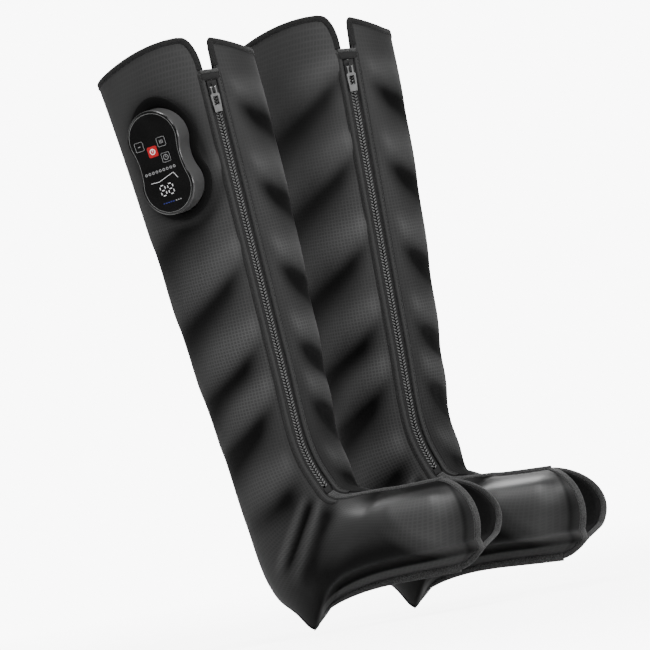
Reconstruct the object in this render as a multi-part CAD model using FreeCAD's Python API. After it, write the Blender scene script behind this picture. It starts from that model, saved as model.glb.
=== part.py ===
"""A pair of zip-up air compression boots for the lower leg, one of them with a control unit on its side.

Each boot is modelled in its own frame, in millimetres: X towards the toe, Y away from the zip side,
Z up, heel tip at the origin. The pair then shares one frame with its origin on the first boot's foot bed.
"""
import FreeCAD, Part
import math
import os
from collections import namedtuple

Vec = FreeCAD.Vector

# Shaft of the boot
RIM_Z = 579.0
RIM_RISE = 25.0
RIM_SKEW = 0.7
RIM_DIP = 16.0
ANKLE_Z = 190.0
MOUTH_HALF_DEPTH = 80.5
MOUTH_HALF_WIDTH = 68.0
MOUTH_CENTRE_X = -2.5
ANKLE_HALF_DEPTH = 60.0
ANKLE_HALF_WIDTH = 51.0
ANKLE_CENTRE_X = 10.8
CALF_SWELL = 2.5
CALF_SHIFT = 2.5
SHAFT_ROW_HEIGHTS = (540.0, 480.0, 420.0, 360.0, 300.0, 245.0, ANKLE_Z)

# Foot of the boot
TOE_HALF_WIDTH = 38.0
TOE_BULGE = 41.0
TOE_ROUND = 0.65

# Ankle and foot sections: front x, front z, back x, back z, share of the way from ankle width to toe
# width, pinch of the front and of the back edge, turn of the zip or instep edge in degrees, toe share
FOOT_SECTIONS = (
    (71.5, 165.0, -46.0, 150.0, 0.11, 0.50, 0.50, 51.7, 0.0),
    (75.0, 142.0, -41.0, 95.0, 0.23, 0.50, 0.50, 45.6, 0.0),
    (82.0, 129.0, -36.0, 55.0, 0.31, 0.50, 0.52, 36.9, 0.0),
    (90.0, 122.5, -27.0, 33.0, 0.38, 0.52, 0.60, 20.0, 0.0),
    (97.0, 119.5, -13.0, 16.0, 0.46, 0.55, 0.75, 10.0, 0.0),
    (103.0, 118.0, 0.0, 0.0, 0.54, 0.60, 0.85, 4.0, 0.0),
    (108.0, 117.2, 12.0, 11.0, 0.58, 0.62, 0.80, 0.0, 0.0),
    (114.0, 116.5, 26.0, 19.0, 0.62, 0.65, 0.75, 0.0, 0.0),
    (122.0, 116.0, 48.0, 24.0, 0.69, 0.68, 0.70, 0.0, 0.0),
    (134.0, 115.5, 82.0, 26.5, 0.77, 0.70, 0.70, 0.0, 0.0),
    (150.0, 115.0, 122.0, 25.0, 0.88, 0.70, 0.70, 0.0, 0.3),
    (167.0, 114.5, 163.0, 23.0, 1.00, 0.70, 0.70, 0.0, 1.0),
)
HEEL_TIP_ROW = 5
HEEL_SKIP_FIRST_ROW = 3
HEEL_SKIP_LAST_ROW = 8
INSTEP_ROW = 2

# Layers of the wall, from the outside in
PANEL_T = 1.6
LAYER_GAP = 0.4
BLADDER_T = 6.5
FOOT_BLADDER_T = 4.0
FOOT_BLADDER_SINK = 0.8
LINING_T = 1.2
BLADDER_OUT = PANEL_T + LAYER_GAP
BLADDER_IN = BLADDER_OUT + BLADDER_T
LINING_OUT = BLADDER_IN + LAYER_GAP
LINING_IN = LINING_OUT + LINING_T

# Air cells: top and foot heights round the calf, first and last section at the ankle and foot
UPPER_CALF_CELL = (404.0, 312.0)
LOWER_CALF_CELL = (304.0, 196.0)
ANKLE_CELL_ROWS = (0, 2)
FOOT_CELL_ROWS = (8, 10)

# Zip
ZIP_TOP_X = 48.3
ZIP_TOP_Z = 563.0
ZIP_BEND_X = 45.7
ZIP_BEND_Z = ANKLE_Z
ZIP_GAP = 6.0
SEAM_GAP = 0.25
SEAM_TURN = 0.005
TEETH_DEPTH = 2.05
TEETH_HALF_T = 1.2
TEETH_IN = 0.6
TEETH_OUT = 3.0
TAPE_T = 0.7
TAPE_EDGE = 4.3
TAPE_WIDTH = 11.0
TAPE_CLEAR = 0.35
STOP_LENGTH = 5.7
STOP_CLEAR = 0.3
LINING_ZIP_GAP = 17.0
BLADDER_ZIP_GAP = 24.0

# Zip slider and its puller, along, across and out of the zip
SLIDER_TOP_DROP = 8.0
SLIDER_LENGTH = 14.0
SLIDER_HALF_W = 4.8
SLIDER_PLATE_T = 1.3
SLIDER_CLEAR = 0.55
SLIDER_POST_HALF_W = 0.35
SLIDER_POST_LENGTH = 4.0
BAIL_HALF_W = 1.0
BAIL_LENGTH = 9.0
BAIL_LEG = 1.6
BAIL_ROOM = 2.4
BAIL_T = 1.2
PULLER_T = 1.4
PULLER_ARM_IN = 1.5
PULLER_HALF_W = 4.6
PULLER_LENGTH = 25.0
PULLER_EYE = 6.2
PULLER_WINDOW_HALF_W = 2.6
PULLER_WINDOW_LENGTH = 9.0
PULLER_BAR = 3.0
PULLER_END_HALF_W = 3.7
PULLER_PIN_R = 0.75

# Notch in the rim over the zip
NOTCH_FOOT_Z = 567.0
NOTCH_CORNER_W = 16.0
NOTCH_CORNER_H = 36.0
NOTCH_BEND_W = 4.64
NOTCH_BEND_H = 25.56
NOTCH_TAB_H = 5.0
NOTCH_TAB_T = 1.2
NOTCH_TAB_LIFT = 1.0
NOTCH_TAB_LAP = 2.0

# Edge bindings
BINDING_W = 5.5
BINDING_T = 0.9
BINDING_GAP = 0.5
SEAM_BINDING_H = 3.0
SEAM_BINDING_HALF_W = 1.7
INSTEP_BINDING_HALF_W = 2.6
TOE_BINDING_INSET = math.radians(14.0)

# Hose port on the side away from the zip
PORT_Z = 530.0
PORT_TURN = 215.0
PORT_R = 6.0
PORT_BORE_R = 2.6
PORT_BORE_DEPTH = 12.0
PORT_HEIGHT = 14.0
PORT_SEAT = 0.3

# Control unit, in its own frame: X across, Y along its length, Z out of the boot
CONTROL_Z = 488.0
CONTROL_TURN = 101.1
CONTROL_TILT = 3.0
END_R = 29.0
END_SPACING = 49.0
WAIST_DRAW = 4.0
HOUSING_TOP = 20.0
HOUSING_FOOT = -3.0
TRAY_FOOT = -7.4
CASE_WALL = 1.8
HOUSING_EDGE_R = 2.4
FASCIA_INSET = 3.0
FASCIA_DRAW = 3.0
FASCIA_T = 1.4
FASCIA_CLEAR = 0.15
FRONT_WALL = 1.2
CUTOUT_CLEAR = 0.4
COLLAR_W = 8.0
COLLAR_T = 2.4
COLLAR_REACH = math.radians(58.0)
COLLAR_REACH_Z = 75.4

# Keys: place across and along the unit, then shared sizes
KEY_PLACES = {
    "minus_key": (-16.8, 21.2),
    "power_key": (-4.1, 12.8),
    "heat_key": (8.4, 20.1),
    "time_key": (8.4, 3.9),
}
KEY_HALF = 5.4
KEY_CORNER_R = 1.6
KEY_CLEAR = 0.2
KEY_PROUD = 0.3
KEY_FLANGE = 0.6
KEY_FLANGE_T = 1.0
KEY_TRAVEL = 0.6
KEY_UNDER_CLEAR = 0.1
SWITCH_R = 2.6
SWITCH_CLEAR = 0.15

# Inside of the control unit
BOARD_T = 1.6
BOARD_Z = 11.0
BOARD_INSET = 3.0
DISPLAY_Y = -27.0
DISPLAY_W = 26.0
DISPLAY_H = 14.0
DISPLAY_CLEAR = 0.4
BATTERY_Y = 24.0
BATTERY_W = 32.0
BATTERY_H = 40.0
BATTERY_T = 11.0
PUMP_Y = -31.0
PUMP_SIDE = 15.0
PUMP_LENGTH = 14.0
MOTOR_R = 7.2
MOTOR_LENGTH = 24.0
MOTOR_X = -9.0
VALVE_X = 10.5
VALVE_Y = -24.5
VALVE_W = 13.0
VALVE_H = 26.0
VALVE_T = 14.0
REST_CLEAR = 0.1
SCREW_TOP_INSET = 10.0
SCREW_TOP_RISE = 6.5
SCREW_FOOT_INSET = 7.5
SCREW_FOOT_RISE = 1.5
SCREW_TOP_X = END_R - SCREW_TOP_INSET
SCREW_TOP_Y = END_SPACING / 2.0 + SCREW_TOP_RISE
SCREW_FOOT_X = END_R - SCREW_FOOT_INSET
SCREW_FOOT_Y = -END_SPACING / 2.0 + SCREW_FOOT_RISE
SCREW_PLACES = (
    (-SCREW_TOP_X, SCREW_TOP_Y),
    (SCREW_TOP_X, SCREW_TOP_Y),
    (-SCREW_FOOT_X, SCREW_FOOT_Y),
    (SCREW_FOOT_X, SCREW_FOOT_Y),
)
BOSS_R = 2.9
SCREW_R = 1.2
SCREW_CLEAR = 0.05
SCREW_HEAD_R = 2.3
SCREW_HEAD_T = 1.1
SCREW_LENGTH = 9.0
SOCKET_Z = 5.5
SOCKET_HALF_W = 4.5
SOCKET_HALF_H = 1.7
SOCKET_DEPTH = 7.0
SOCKET_WALL = 0.4
SOCKET_CLEAR = 0.15

# Places of the two boots
FOOT_BED_X = 45.0
FOOT_BED_Z = 38.0
FIRST_LEAN = -3.35
SECOND_LEAN = 0.55
SECOND_STEP_X = 56.0
SECOND_STEP_Y = 160.0

# Numbers of points used to describe the curved sheets
NEAR_POINTS = 11
FAR_POINTS = 15
STRIP_POINTS = 13
TURN_STEP = 0.02

Row = namedtuple("Row", "front back half_width front_pinch back_pinch zip_turn rim toe")
Frame = namedtuple("Frame", "origin across along out")


def mix(low, high, share):
    """Value a share of the way from low to high."""
    return low + (high - low) * share


def shaft_oval(height):
    """Half depth of the shaft at a height, its middle, and the turn at which the zip lies."""
    share = (height - ANKLE_Z) / (RIM_Z - ANKLE_Z)
    half_depth = mix(ANKLE_HALF_DEPTH, MOUTH_HALF_DEPTH, share) + CALF_SWELL * math.sin(math.pi * share)
    centre = mix(ANKLE_CENTRE_X, MOUTH_CENTRE_X, share) + CALF_SHIFT * math.sin(math.pi * share * share)
    zip_share = (height - ZIP_BEND_Z) / (ZIP_TOP_Z - ZIP_BEND_Z)
    zip_x = mix(ZIP_BEND_X, ZIP_TOP_X, zip_share)
    return half_depth, centre, math.acos((zip_x - centre) / half_depth)


# Sideways reach of the zip at the ankle and at the mouth; straight in between, so that the slider can run
ANKLE_ZIP_Y = ANKLE_HALF_WIDTH * math.sin(shaft_oval(ANKLE_Z)[2])
MOUTH_ZIP_Y = MOUTH_HALF_WIDTH * math.sin(shaft_oval(RIM_Z)[2])


def shaft_row(height, rim=0.0):
    """Oval section of the shaft at a height; rim is 1 on a section that climbs with the rim."""
    half_depth, centre, zip_turn = shaft_oval(height)
    zip_y = mix(ANKLE_ZIP_Y, MOUTH_ZIP_Y, (height - ANKLE_Z) / (RIM_Z - ANKLE_Z))
    half_width = zip_y / math.sin(zip_turn)
    front = (centre + half_depth, height)
    back = (centre - half_depth, height)
    return Row(front, back, half_width, 0.5, 0.5, zip_turn, rim, 0.0)


def foot_row(entry):
    """Section of the ankle or foot from one line of the table."""
    front_x, front_z, back_x, back_z, width_share, front_pinch, back_pinch, zip_deg, toe = entry
    half_width = mix(ANKLE_HALF_WIDTH, TOE_HALF_WIDTH, width_share)
    zip_turn = math.radians(zip_deg)
    return Row((front_x, front_z), (back_x, back_z), half_width, front_pinch, back_pinch, zip_turn, 0.0, toe)


RIM_ROW = shaft_row(RIM_Z, rim=1.0)
SHAFT_ROWS = [shaft_row(height) for height in SHAFT_ROW_HEIGHTS]
FOOT_ROWS = [foot_row(entry) for entry in FOOT_SECTIONS]
ALL_ROWS = [RIM_ROW] + SHAFT_ROWS + FOOT_ROWS
BACK_TURN = math.pi
FULL_TURN = 2.0 * math.pi


def skin_point(row, turn, depth):
    """Point a depth under the boot's outer face. The turn runs from the front seam at 0 over the zip
    side to the back seam at half a turn, and on round the other side."""
    span_x = row.back[0] - row.front[0]
    span_z = row.back[1] - row.front[1]
    length = math.hypot(span_x, span_z)
    share = (1.0 - math.cos(turn)) / 2.0
    along = (depth + share * (length - 2.0 * depth)) / length
    peak = row.front_pinch / (row.front_pinch + row.back_pinch)
    swell = (share / peak) ** row.front_pinch * ((1.0 - share) / (1.0 - peak)) ** row.back_pinch
    side = -1.0 if math.sin(turn) >= 0.0 else 1.0
    x = row.front[0] + span_x * along
    z = row.front[1] + span_z * along
    x += row.toe * TOE_BULGE * (4.0 * share * (1.0 - share)) ** TOE_ROUND
    climb = RIM_RISE if side < 0.0 else -RIM_DIP
    z += row.rim * climb * math.sin(math.pi * share ** RIM_SKEW)
    return Vec(x, side * (row.half_width - depth) * swell, z)


def turn_beside(row, turn, distance):
    """Turn that lies a distance along the skin from another turn."""
    ahead = skin_point(row, turn + TURN_STEP, 0.0)
    behind = skin_point(row, turn - TURN_STEP, 0.0)
    return turn + distance * 2.0 * TURN_STEP / ahead.sub(behind).Length


def skin_frame(row, lower_row, turn, depth):
    """Local axes on the skin: across towards the front, along the leg upwards, and outwards."""
    origin = skin_point(row, turn, depth)
    across = skin_point(row, turn - TURN_STEP, depth).sub(skin_point(row, turn + TURN_STEP, depth))
    along = origin.sub(skin_point(lower_row, turn, depth))
    out = across.cross(along)
    out.normalize()
    along = out.cross(across)
    along.normalize()
    across = along.cross(out)
    return Frame(origin, across, along, out)


def spread(low, high, count):
    """Evenly spaced values from low to high."""
    return [mix(low, high, index / (count - 1.0)) for index in range(count)]


def closed_solid(faces):
    """Solid from faces that meet edge to edge."""
    shell = Part.Compound(faces)
    shell.sewShape()
    solid = Part.Solid(shell.Shells[0])
    if solid.Volume < 0.0:
        solid.reverse()
    return solid


def smooth_curve(points, stations):
    """Smooth curve through points that lie at the given stations."""
    curve = Part.BSplineCurve()
    curve.interpolate(Points=points, Parameters=stations)
    return curve


def stations_along(lines):
    """Stations of matching points along several lines, by the mean distance from point to point."""
    stations = [0.0]
    for index in range(1, len(lines[0])):
        steps = [line[index].sub(line[index - 1]).Length for line in lines]
        stations.append(stations[-1] + sum(steps) / len(steps))
    return stations


def surface_from_poles(poles, row_curve, column_curve):
    """Smooth surface whose rows and columns follow the knots of two curves."""
    surface = Part.BSplineSurface()
    surface.buildFromPolesMultsKnots(
        poles, row_curve.getMultiplicities(), column_curve.getMultiplicities(),
        row_curve.getKnots(), column_curve.getKnots(), False, False, row_curve.Degree, column_curve.Degree)
    return surface


def woven_surface(grid, row_stations, column_stations):
    """Smooth surface through a grid of points, with a curve along each way of the grid."""
    columns = [smooth_curve(line, column_stations) for line in grid]
    lines = [curve.getPoles() for curve in columns]
    rows = [smooth_curve([line[index] for line in lines], row_stations) for index in range(len(lines[0]))]
    row_poles = [curve.getPoles() for curve in rows]
    poles = [[line[index] for line in row_poles] for index in range(len(row_poles[0]))]
    return surface_from_poles(poles, rows[0], columns[0])


STRAIGHT = smooth_curve([Vec(0.0, 0.0, 0.0), Vec(1.0, 0.0, 0.0)], [0.0, 1.0])


def between(first, second):
    """Straight-ruled face between two matching curves."""
    return surface_from_poles([first.getPoles(), second.getPoles()], STRAIGHT, first).toShape()


def solid_between(outer, inner):
    """Solid between two matching surfaces, closed by straight-ruled edges."""
    faces = [outer.toShape(), inner.toShape()]
    row_start, row_end, column_start, column_end = outer.bounds()
    for place in (row_start, row_end):
        faces.append(between(outer.uIso(place), inner.uIso(place)))
    for place in (column_start, column_end):
        faces.append(between(outer.vIso(place), inner.vIso(place)))
    return closed_solid(faces)


def sheet(rows, turns, depth_out, depth_in, first=0, last=-1):
    """Thick curved sheet over the given sections, from the first to the last of those kept; turns holds
    one list of turns for each section."""
    seams = [[skin_point(row, turn, 0.0) for row in rows] for turn in (0.0, BACK_TURN)]
    row_stations = stations_along(seams)
    column_stations = spread(0.0, 1.0, len(turns[0]))
    surfaces = []
    for depth in (depth_out, depth_in):
        grid = [[skin_point(row, turn, depth) for turn in line] for row, line in zip(rows, turns)]
        surface = woven_surface(grid, row_stations, column_stations)
        surface.segment(row_stations[first], row_stations[last], 0.0, 1.0)
        surfaces.append(surface)
    return solid_between(surfaces[0], surfaces[1])


def strip(corners):
    """Strip of four-sided section; corners holds four lists of points, in order round the section."""
    stations = stations_along(corners)
    curves = [smooth_curve(points, stations) for points in corners]
    faces = [between(curves[index], curves[(index + 1) % 4]) for index in range(4)]
    for end in (0, -1):
        ends = [[corners[0][end], corners[1][end]], [corners[3][end], corners[2][end]]]
        faces.append(surface_from_poles(ends, STRAIGHT, STRAIGHT).toShape())
    return closed_solid(faces)


def offset_point(frame, across, along, out):
    """Point given by distances along a frame's axes."""
    point = Vec(frame.origin)
    point = point.add(Vec(frame.across).multiply(across))
    point = point.add(Vec(frame.along).multiply(along))
    return point.add(Vec(frame.out).multiply(out))


def frame_placement(frame):
    """Placement that carries X, Y and Z onto a frame's across, along and out."""
    turn = FreeCAD.Rotation(frame.across, frame.along, frame.out, "ZXY")
    return FreeCAD.Placement(frame.origin, turn)


def block(low, high):
    """Box between two corners."""
    size = [top - bottom for bottom, top in zip(low, high)]
    return Part.makeBox(size[0], size[1], size[2], Vec(*low))


def prism(points, low, high):
    """Upright prism over a flat polygon."""
    corners = [Vec(x, y, low) for x, y in points]
    corners.append(corners[0])
    return Part.Face(Part.makePolygon(corners)).extrude(Vec(0.0, 0.0, high - low))


# Zip line: straight from the notch to the bend above the ankle
ZIP_TOP_ROW = shaft_row(ZIP_TOP_Z)
ZIP_BEND_ROW = shaft_row(ZIP_BEND_Z)
ZIP_TOP_POINT = skin_point(ZIP_TOP_ROW, ZIP_TOP_ROW.zip_turn, 0.0)
ZIP_BEND_POINT = skin_point(ZIP_BEND_ROW, ZIP_BEND_ROW.zip_turn, 0.0)


def straight_zip_frame():
    """Frame at the top of the zip, with its length along the straight run."""
    along = ZIP_TOP_POINT.sub(ZIP_BEND_POINT)
    along.normalize()
    middle = shaft_row((ZIP_TOP_Z + ZIP_BEND_Z) / 2.0)
    across = skin_point(middle, middle.zip_turn - TURN_STEP, 0.0)
    across = across.sub(skin_point(middle, middle.zip_turn + TURN_STEP, 0.0))
    out = across.cross(along)
    out.normalize()
    return Frame(ZIP_TOP_POINT, along.cross(out), along, out)


ZIP_FRAME = straight_zip_frame()
ZIP_LENGTH = ZIP_TOP_POINT.sub(ZIP_BEND_POINT).Length


def edge_gap(row):
    """Distance of the panel edges from the zip or instep line on a section."""
    if row.rim or row in SHAFT_ROWS:
        return ZIP_GAP
    place = FOOT_ROWS.index(row)
    if place < INSTEP_ROW:
        return ZIP_GAP
    if place == INSTEP_ROW:
        return ZIP_GAP / 2.0
    return SEAM_GAP


def near_turns(row, gap, count):
    """Turns over the zip side, from beside the zip to the back seam."""
    return spread(turn_beside(row, row.zip_turn, gap), BACK_TURN, count)


def far_turns(row, gap, count):
    """Turns over the other side, from the back seam round the front to beside the zip."""
    return spread(BACK_TURN, FULL_TURN + turn_beside(row, row.zip_turn, -gap), count)


def control_frame():
    """Frame of the control unit on the boot's side."""
    row = shaft_row(CONTROL_Z)
    lower = shaft_row(CONTROL_Z - END_R)
    frame = skin_frame(row, lower, math.radians(CONTROL_TURN), 0.0)
    tilt = FreeCAD.Rotation(frame.out, CONTROL_TILT)
    return Frame(frame.origin, tilt.multVec(frame.across), tilt.multVec(frame.along), frame.out)


CONTROL_FRAME = control_frame()


def waisted_face(inset, height, draw):
    """Outline of the control unit at a height, set in all round and drawn in at the waist, as a face."""
    end_r = END_R - inset
    waist = end_r - draw
    half = END_SPACING / 2.0
    waist_r = (end_r ** 2 - waist ** 2 - half ** 2) / (2.0 * (waist - end_r))
    waist_centre = waist + waist_r
    reach = end_r / (end_r + waist_r)
    joint_x = waist_centre * reach
    joint_y = half - half * reach
    joints = [(joint_x, -joint_y), (joint_x, joint_y), (-joint_x, joint_y), (-joint_x, -joint_y)]
    crowns = [(waist, 0.0), (0.0, half + end_r), (-waist, 0.0), (0.0, -half - end_r)]
    edges = []
    for start, crown, end in zip(joints, crowns, joints[1:] + joints[:1]):
        arc = Part.Arc(*[Vec(x, y, height) for x, y in (start, crown, end)])
        edges.append(arc.toShape())
    return Part.Face(Part.Wire(edges))


def waisted_block(inset, low, high, draw=WAIST_DRAW):
    """Waisted block between two heights."""
    return waisted_face(inset, low, draw).extrude(Vec(0.0, 0.0, high - low))


def notch_cutter():
    """Rounded corner taken off the panel behind the zip, and the room over the zip."""
    foot = NOTCH_FOOT_Z - ZIP_TOP_Z
    edge = -ZIP_GAP
    start = Vec(edge - NOTCH_CORNER_W, foot + NOTCH_CORNER_H, -RIM_RISE)
    bend = Vec(edge - NOTCH_BEND_W, foot + NOTCH_BEND_H, -RIM_RISE)
    end = Vec(edge, foot, -RIM_RISE)
    over = foot + 2.0 * NOTCH_CORNER_H
    far_corner = Vec(0.0, over, -RIM_RISE)
    inner_corner = Vec(0.0, foot, -RIM_RISE)
    back_corner = Vec(start.x, over, -RIM_RISE)
    edges = [Part.Arc(start, bend, end).toShape()]
    corners = [end, inner_corner, far_corner, back_corner, start]
    for first, second in zip(corners, corners[1:]):
        edges.append(Part.makeLine(first, second))
    cutter = Part.Face(Part.Wire(edges)).extrude(Vec(0.0, 0.0, 2.0 * RIM_RISE))
    cutter.Placement = frame_placement(ZIP_FRAME)
    return cutter


def outer_panel(with_control):
    """Panel on the zip side, from the zip back to the back seam and down to the sole seam."""
    turns = [near_turns(row, edge_gap(row), NEAR_POINTS) for row in ALL_ROWS]
    panel = sheet(ALL_ROWS, turns, 0.0, PANEL_T).cut(notch_cutter())
    if with_control:
        hole = waisted_block(-CUTOUT_CLEAR, 2.0 * TRAY_FOOT, HOUSING_TOP)
        hole.Placement = frame_placement(CONTROL_FRAME)
        panel = panel.cut(hole)
    return panel


def inner_panel():
    """Panel that wraps the other side and the front, up to the zip."""
    turns = [far_turns(row, edge_gap(row), FAR_POINTS) for row in ALL_ROWS]
    return sheet(ALL_ROWS, turns, 0.0, PANEL_T)


def halves(rows, depth_out, depth_in, zip_gap, first=0, last=-1):
    """Layer made of a zip-side half and another half that almost meet at the back and sole seam."""
    near = []
    far = []
    for row in rows:
        gap = zip_gap if row.zip_turn > 0.0 else SEAM_GAP
        near.append(spread(turn_beside(row, row.zip_turn, gap), BACK_TURN - SEAM_TURN, NEAR_POINTS))
        far_end = FULL_TURN + turn_beside(row, row.zip_turn, -gap)
        far.append(spread(BACK_TURN + SEAM_TURN, far_end, FAR_POINTS))
    layers = [sheet(rows, turns, depth_out, depth_in, first, last) for turns in (near, far)]
    return Part.Compound(layers)


def inside_foot_rows():
    """Ankle and foot sections of the inner layers, which pass over the heel tip without filling it."""
    before = FOOT_ROWS[HEEL_SKIP_FIRST_ROW]
    after = FOOT_ROWS[HEEL_SKIP_LAST_ROW]
    rows = []
    for place, row in enumerate(FOOT_ROWS):
        share = (place - HEEL_SKIP_FIRST_ROW) / (HEEL_SKIP_LAST_ROW - HEEL_SKIP_FIRST_ROW)
        if 0.0 < share < 1.0:
            back = (mix(before.back[0], after.back[0], share), mix(before.back[1], after.back[1], share))
            row = row._replace(back=back, back_pinch=mix(before.back_pinch, after.back_pinch, share))
        rows.append(row)
    return rows


INSIDE_ROWS = [shaft_row(RIM_Z - BINDING_W, rim=1.0)] + SHAFT_ROWS + inside_foot_rows()
FIRST_FOOT_PLACE = 1 + len(SHAFT_ROWS)


def lining():
    """Soft lining that faces the leg."""
    return halves(INSIDE_ROWS, LINING_OUT, LINING_IN, LINING_ZIP_GAP)


def calf_bladder(top_z, foot_z):
    """Air cell round the calf between two heights."""
    rows = [shaft_row(height) for height in spread(top_z, foot_z, 4)]
    return halves(rows, BLADDER_OUT, BLADDER_IN, BLADDER_ZIP_GAP)


def foot_bladder(first, last):
    """Air cell over a run of ankle or foot sections."""
    places = (FIRST_FOOT_PLACE + first, FIRST_FOOT_PLACE + last)
    outside = BLADDER_OUT + FOOT_BLADDER_SINK
    return halves(ALL_ROWS, outside, outside + FOOT_BLADDER_T, BLADDER_ZIP_GAP, *places)


def rim_binding():
    """Bound edge of the rim, in two lengths either side of the notch."""
    lengths = []
    corner_gap = ZIP_GAP + NOTCH_CORNER_W
    for turns in (near_turns(RIM_ROW, corner_gap, STRIP_POINTS), far_turns(RIM_ROW, ZIP_GAP, FAR_POINTS)):
        drop = Vec(0.0, 0.0, -BINDING_W)
        outside = [skin_point(RIM_ROW, turn, -BINDING_GAP - BINDING_T) for turn in turns]
        inside = [skin_point(RIM_ROW, turn, -BINDING_GAP) for turn in turns]
        low_outside = [point.add(drop) for point in outside]
        low_inside = [point.add(drop) for point in inside]
        lengths.append(strip([outside, inside, low_inside, low_outside]))
    return Part.Compound(lengths)


def toe_binding():
    """Bound edge of the toe opening, on both sides."""
    lengths = []
    row = FOOT_ROWS[-1]
    for low, high in ((SEAM_TURN, BACK_TURN - SEAM_TURN), (BACK_TURN + SEAM_TURN, FULL_TURN - SEAM_TURN)):
        turns = spread(low + TOE_BINDING_INSET, high - TOE_BINDING_INSET, STRIP_POINTS)
        back = Vec(-BINDING_W, 0.0, 0.0)
        outside = [skin_point(row, turn, -2.0 * BINDING_GAP - BINDING_T) for turn in turns]
        inside = [skin_point(row, turn, -2.0 * BINDING_GAP) for turn in turns]
        back_outside = [point.add(back) for point in outside]
        back_inside = [point.add(back) for point in inside]
        lengths.append(strip([outside, inside, back_inside, back_outside]))
    return Part.Compound(lengths)


def sole_binding():
    """Bound seam under the foot, from the heel tip to the toe."""
    corners = [[], [], [], []]
    for row in FOOT_ROWS[HEEL_TIP_ROW:]:
        away = Vec(row.back[0] - row.front[0], 0.0, row.back[1] - row.front[1])
        away.normalize()
        seam = Vec(row.back[0], 0.0, row.back[1])
        near = seam.add(Vec(away).multiply(BINDING_GAP))
        low = seam.add(Vec(away).multiply(BINDING_GAP + SEAM_BINDING_H))
        side = Vec(0.0, SEAM_BINDING_HALF_W, 0.0)
        for points, point in zip(corners, (near.sub(side), near.add(side), low.add(side), low.sub(side))):
            points.append(point)
    return strip(corners)


def instep_binding():
    """Bound edge over the instep, from the foot of the zip to the toe."""
    corners = [[], [], [], []]
    for row, lower in zip(FOOT_ROWS[INSTEP_ROW:-1], FOOT_ROWS[INSTEP_ROW + 1:]):
        frame = skin_frame(row, lower, row.zip_turn, 0.0)
        half = INSTEP_BINDING_HALF_W
        low = 2.0 * BINDING_GAP
        high = low + BINDING_T
        for points, place in zip(corners, ((-half, low), (half, low), (half, high), (-half, high))):
            points.append(offset_point(frame, place[0], 0.0, place[1]))
    return strip(corners)


ZIP_ROWS = [ZIP_TOP_ROW] + SHAFT_ROWS + FOOT_ROWS
ZIP_LAST_PLACE = FIRST_FOOT_PLACE + INSTEP_ROW - 1


def zip_strip(side, inner, outer, depth_out, depth_in, first):
    """Strip beside the zip's middle line; side is -1 behind the zip and 1 in front of it."""
    turns = []
    for row in ZIP_ROWS:
        start = turn_beside(row, row.zip_turn, -side * inner)
        end = turn_beside(row, row.zip_turn, -side * outer)
        turns.append(spread(start, end, 4))
    return sheet(ZIP_ROWS, turns, depth_out, depth_in, first, ZIP_LAST_PLACE)


def zip_tape(side):
    """Cloth tape under a panel's edge."""
    top = PANEL_T + TAPE_CLEAR
    return zip_strip(side, TAPE_EDGE, TAPE_EDGE + TAPE_WIDTH, top, top + TAPE_T, 0)


def zip_teeth(side):
    """Row of teeth beside the zip's middle line, straight and then round the ankle."""
    low = min(side * TEETH_IN, side * TEETH_OUT)
    high = max(side * TEETH_IN, side * TEETH_OUT)
    top = TEETH_DEPTH - TEETH_HALF_T
    bottom = TEETH_DEPTH + TEETH_HALF_T
    straight = block((low, -ZIP_LENGTH + SEAM_GAP, -bottom), (high, 0.0, -top))
    straight.Placement = frame_placement(ZIP_FRAME)
    curved = zip_strip(side, TEETH_IN, TEETH_OUT, top, bottom, FIRST_FOOT_PLACE - 1)
    return Part.Compound([straight, curved])


def zip_bottom_stop():
    """Clip across the foot of the zip."""
    row = FOOT_ROWS[INSTEP_ROW - 1]
    frame = skin_frame(row, FOOT_ROWS[INSTEP_ROW], row.zip_turn, 0.0)
    low = (-TEETH_OUT, -STOP_CLEAR - STOP_LENGTH, -TEETH_DEPTH - TEETH_HALF_T)
    high = (TEETH_OUT, -STOP_CLEAR, -TEETH_DEPTH + TEETH_HALF_T)
    stop = block(low, high)
    stop.Placement = frame_placement(frame)
    return stop


def notch_tab():
    """Small cloth tab across the foot of the notch."""
    high = NOTCH_FOOT_Z - ZIP_TOP_Z + NOTCH_TAB_LIFT
    low = high - NOTCH_TAB_H
    reach = ZIP_GAP + NOTCH_TAB_LAP
    tab = block((-reach, low, BINDING_GAP), (reach, high, BINDING_GAP + NOTCH_TAB_T))
    tab.Placement = frame_placement(ZIP_FRAME)
    return tab


PULLER_AXIS_OUT = -TEETH_DEPTH + TEETH_HALF_T + SLIDER_CLEAR + SLIDER_PLATE_T + BAIL_ROOM / 2.0
SLIDER_MIDDLE = -SLIDER_TOP_DROP - SLIDER_LENGTH / 2.0


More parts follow.
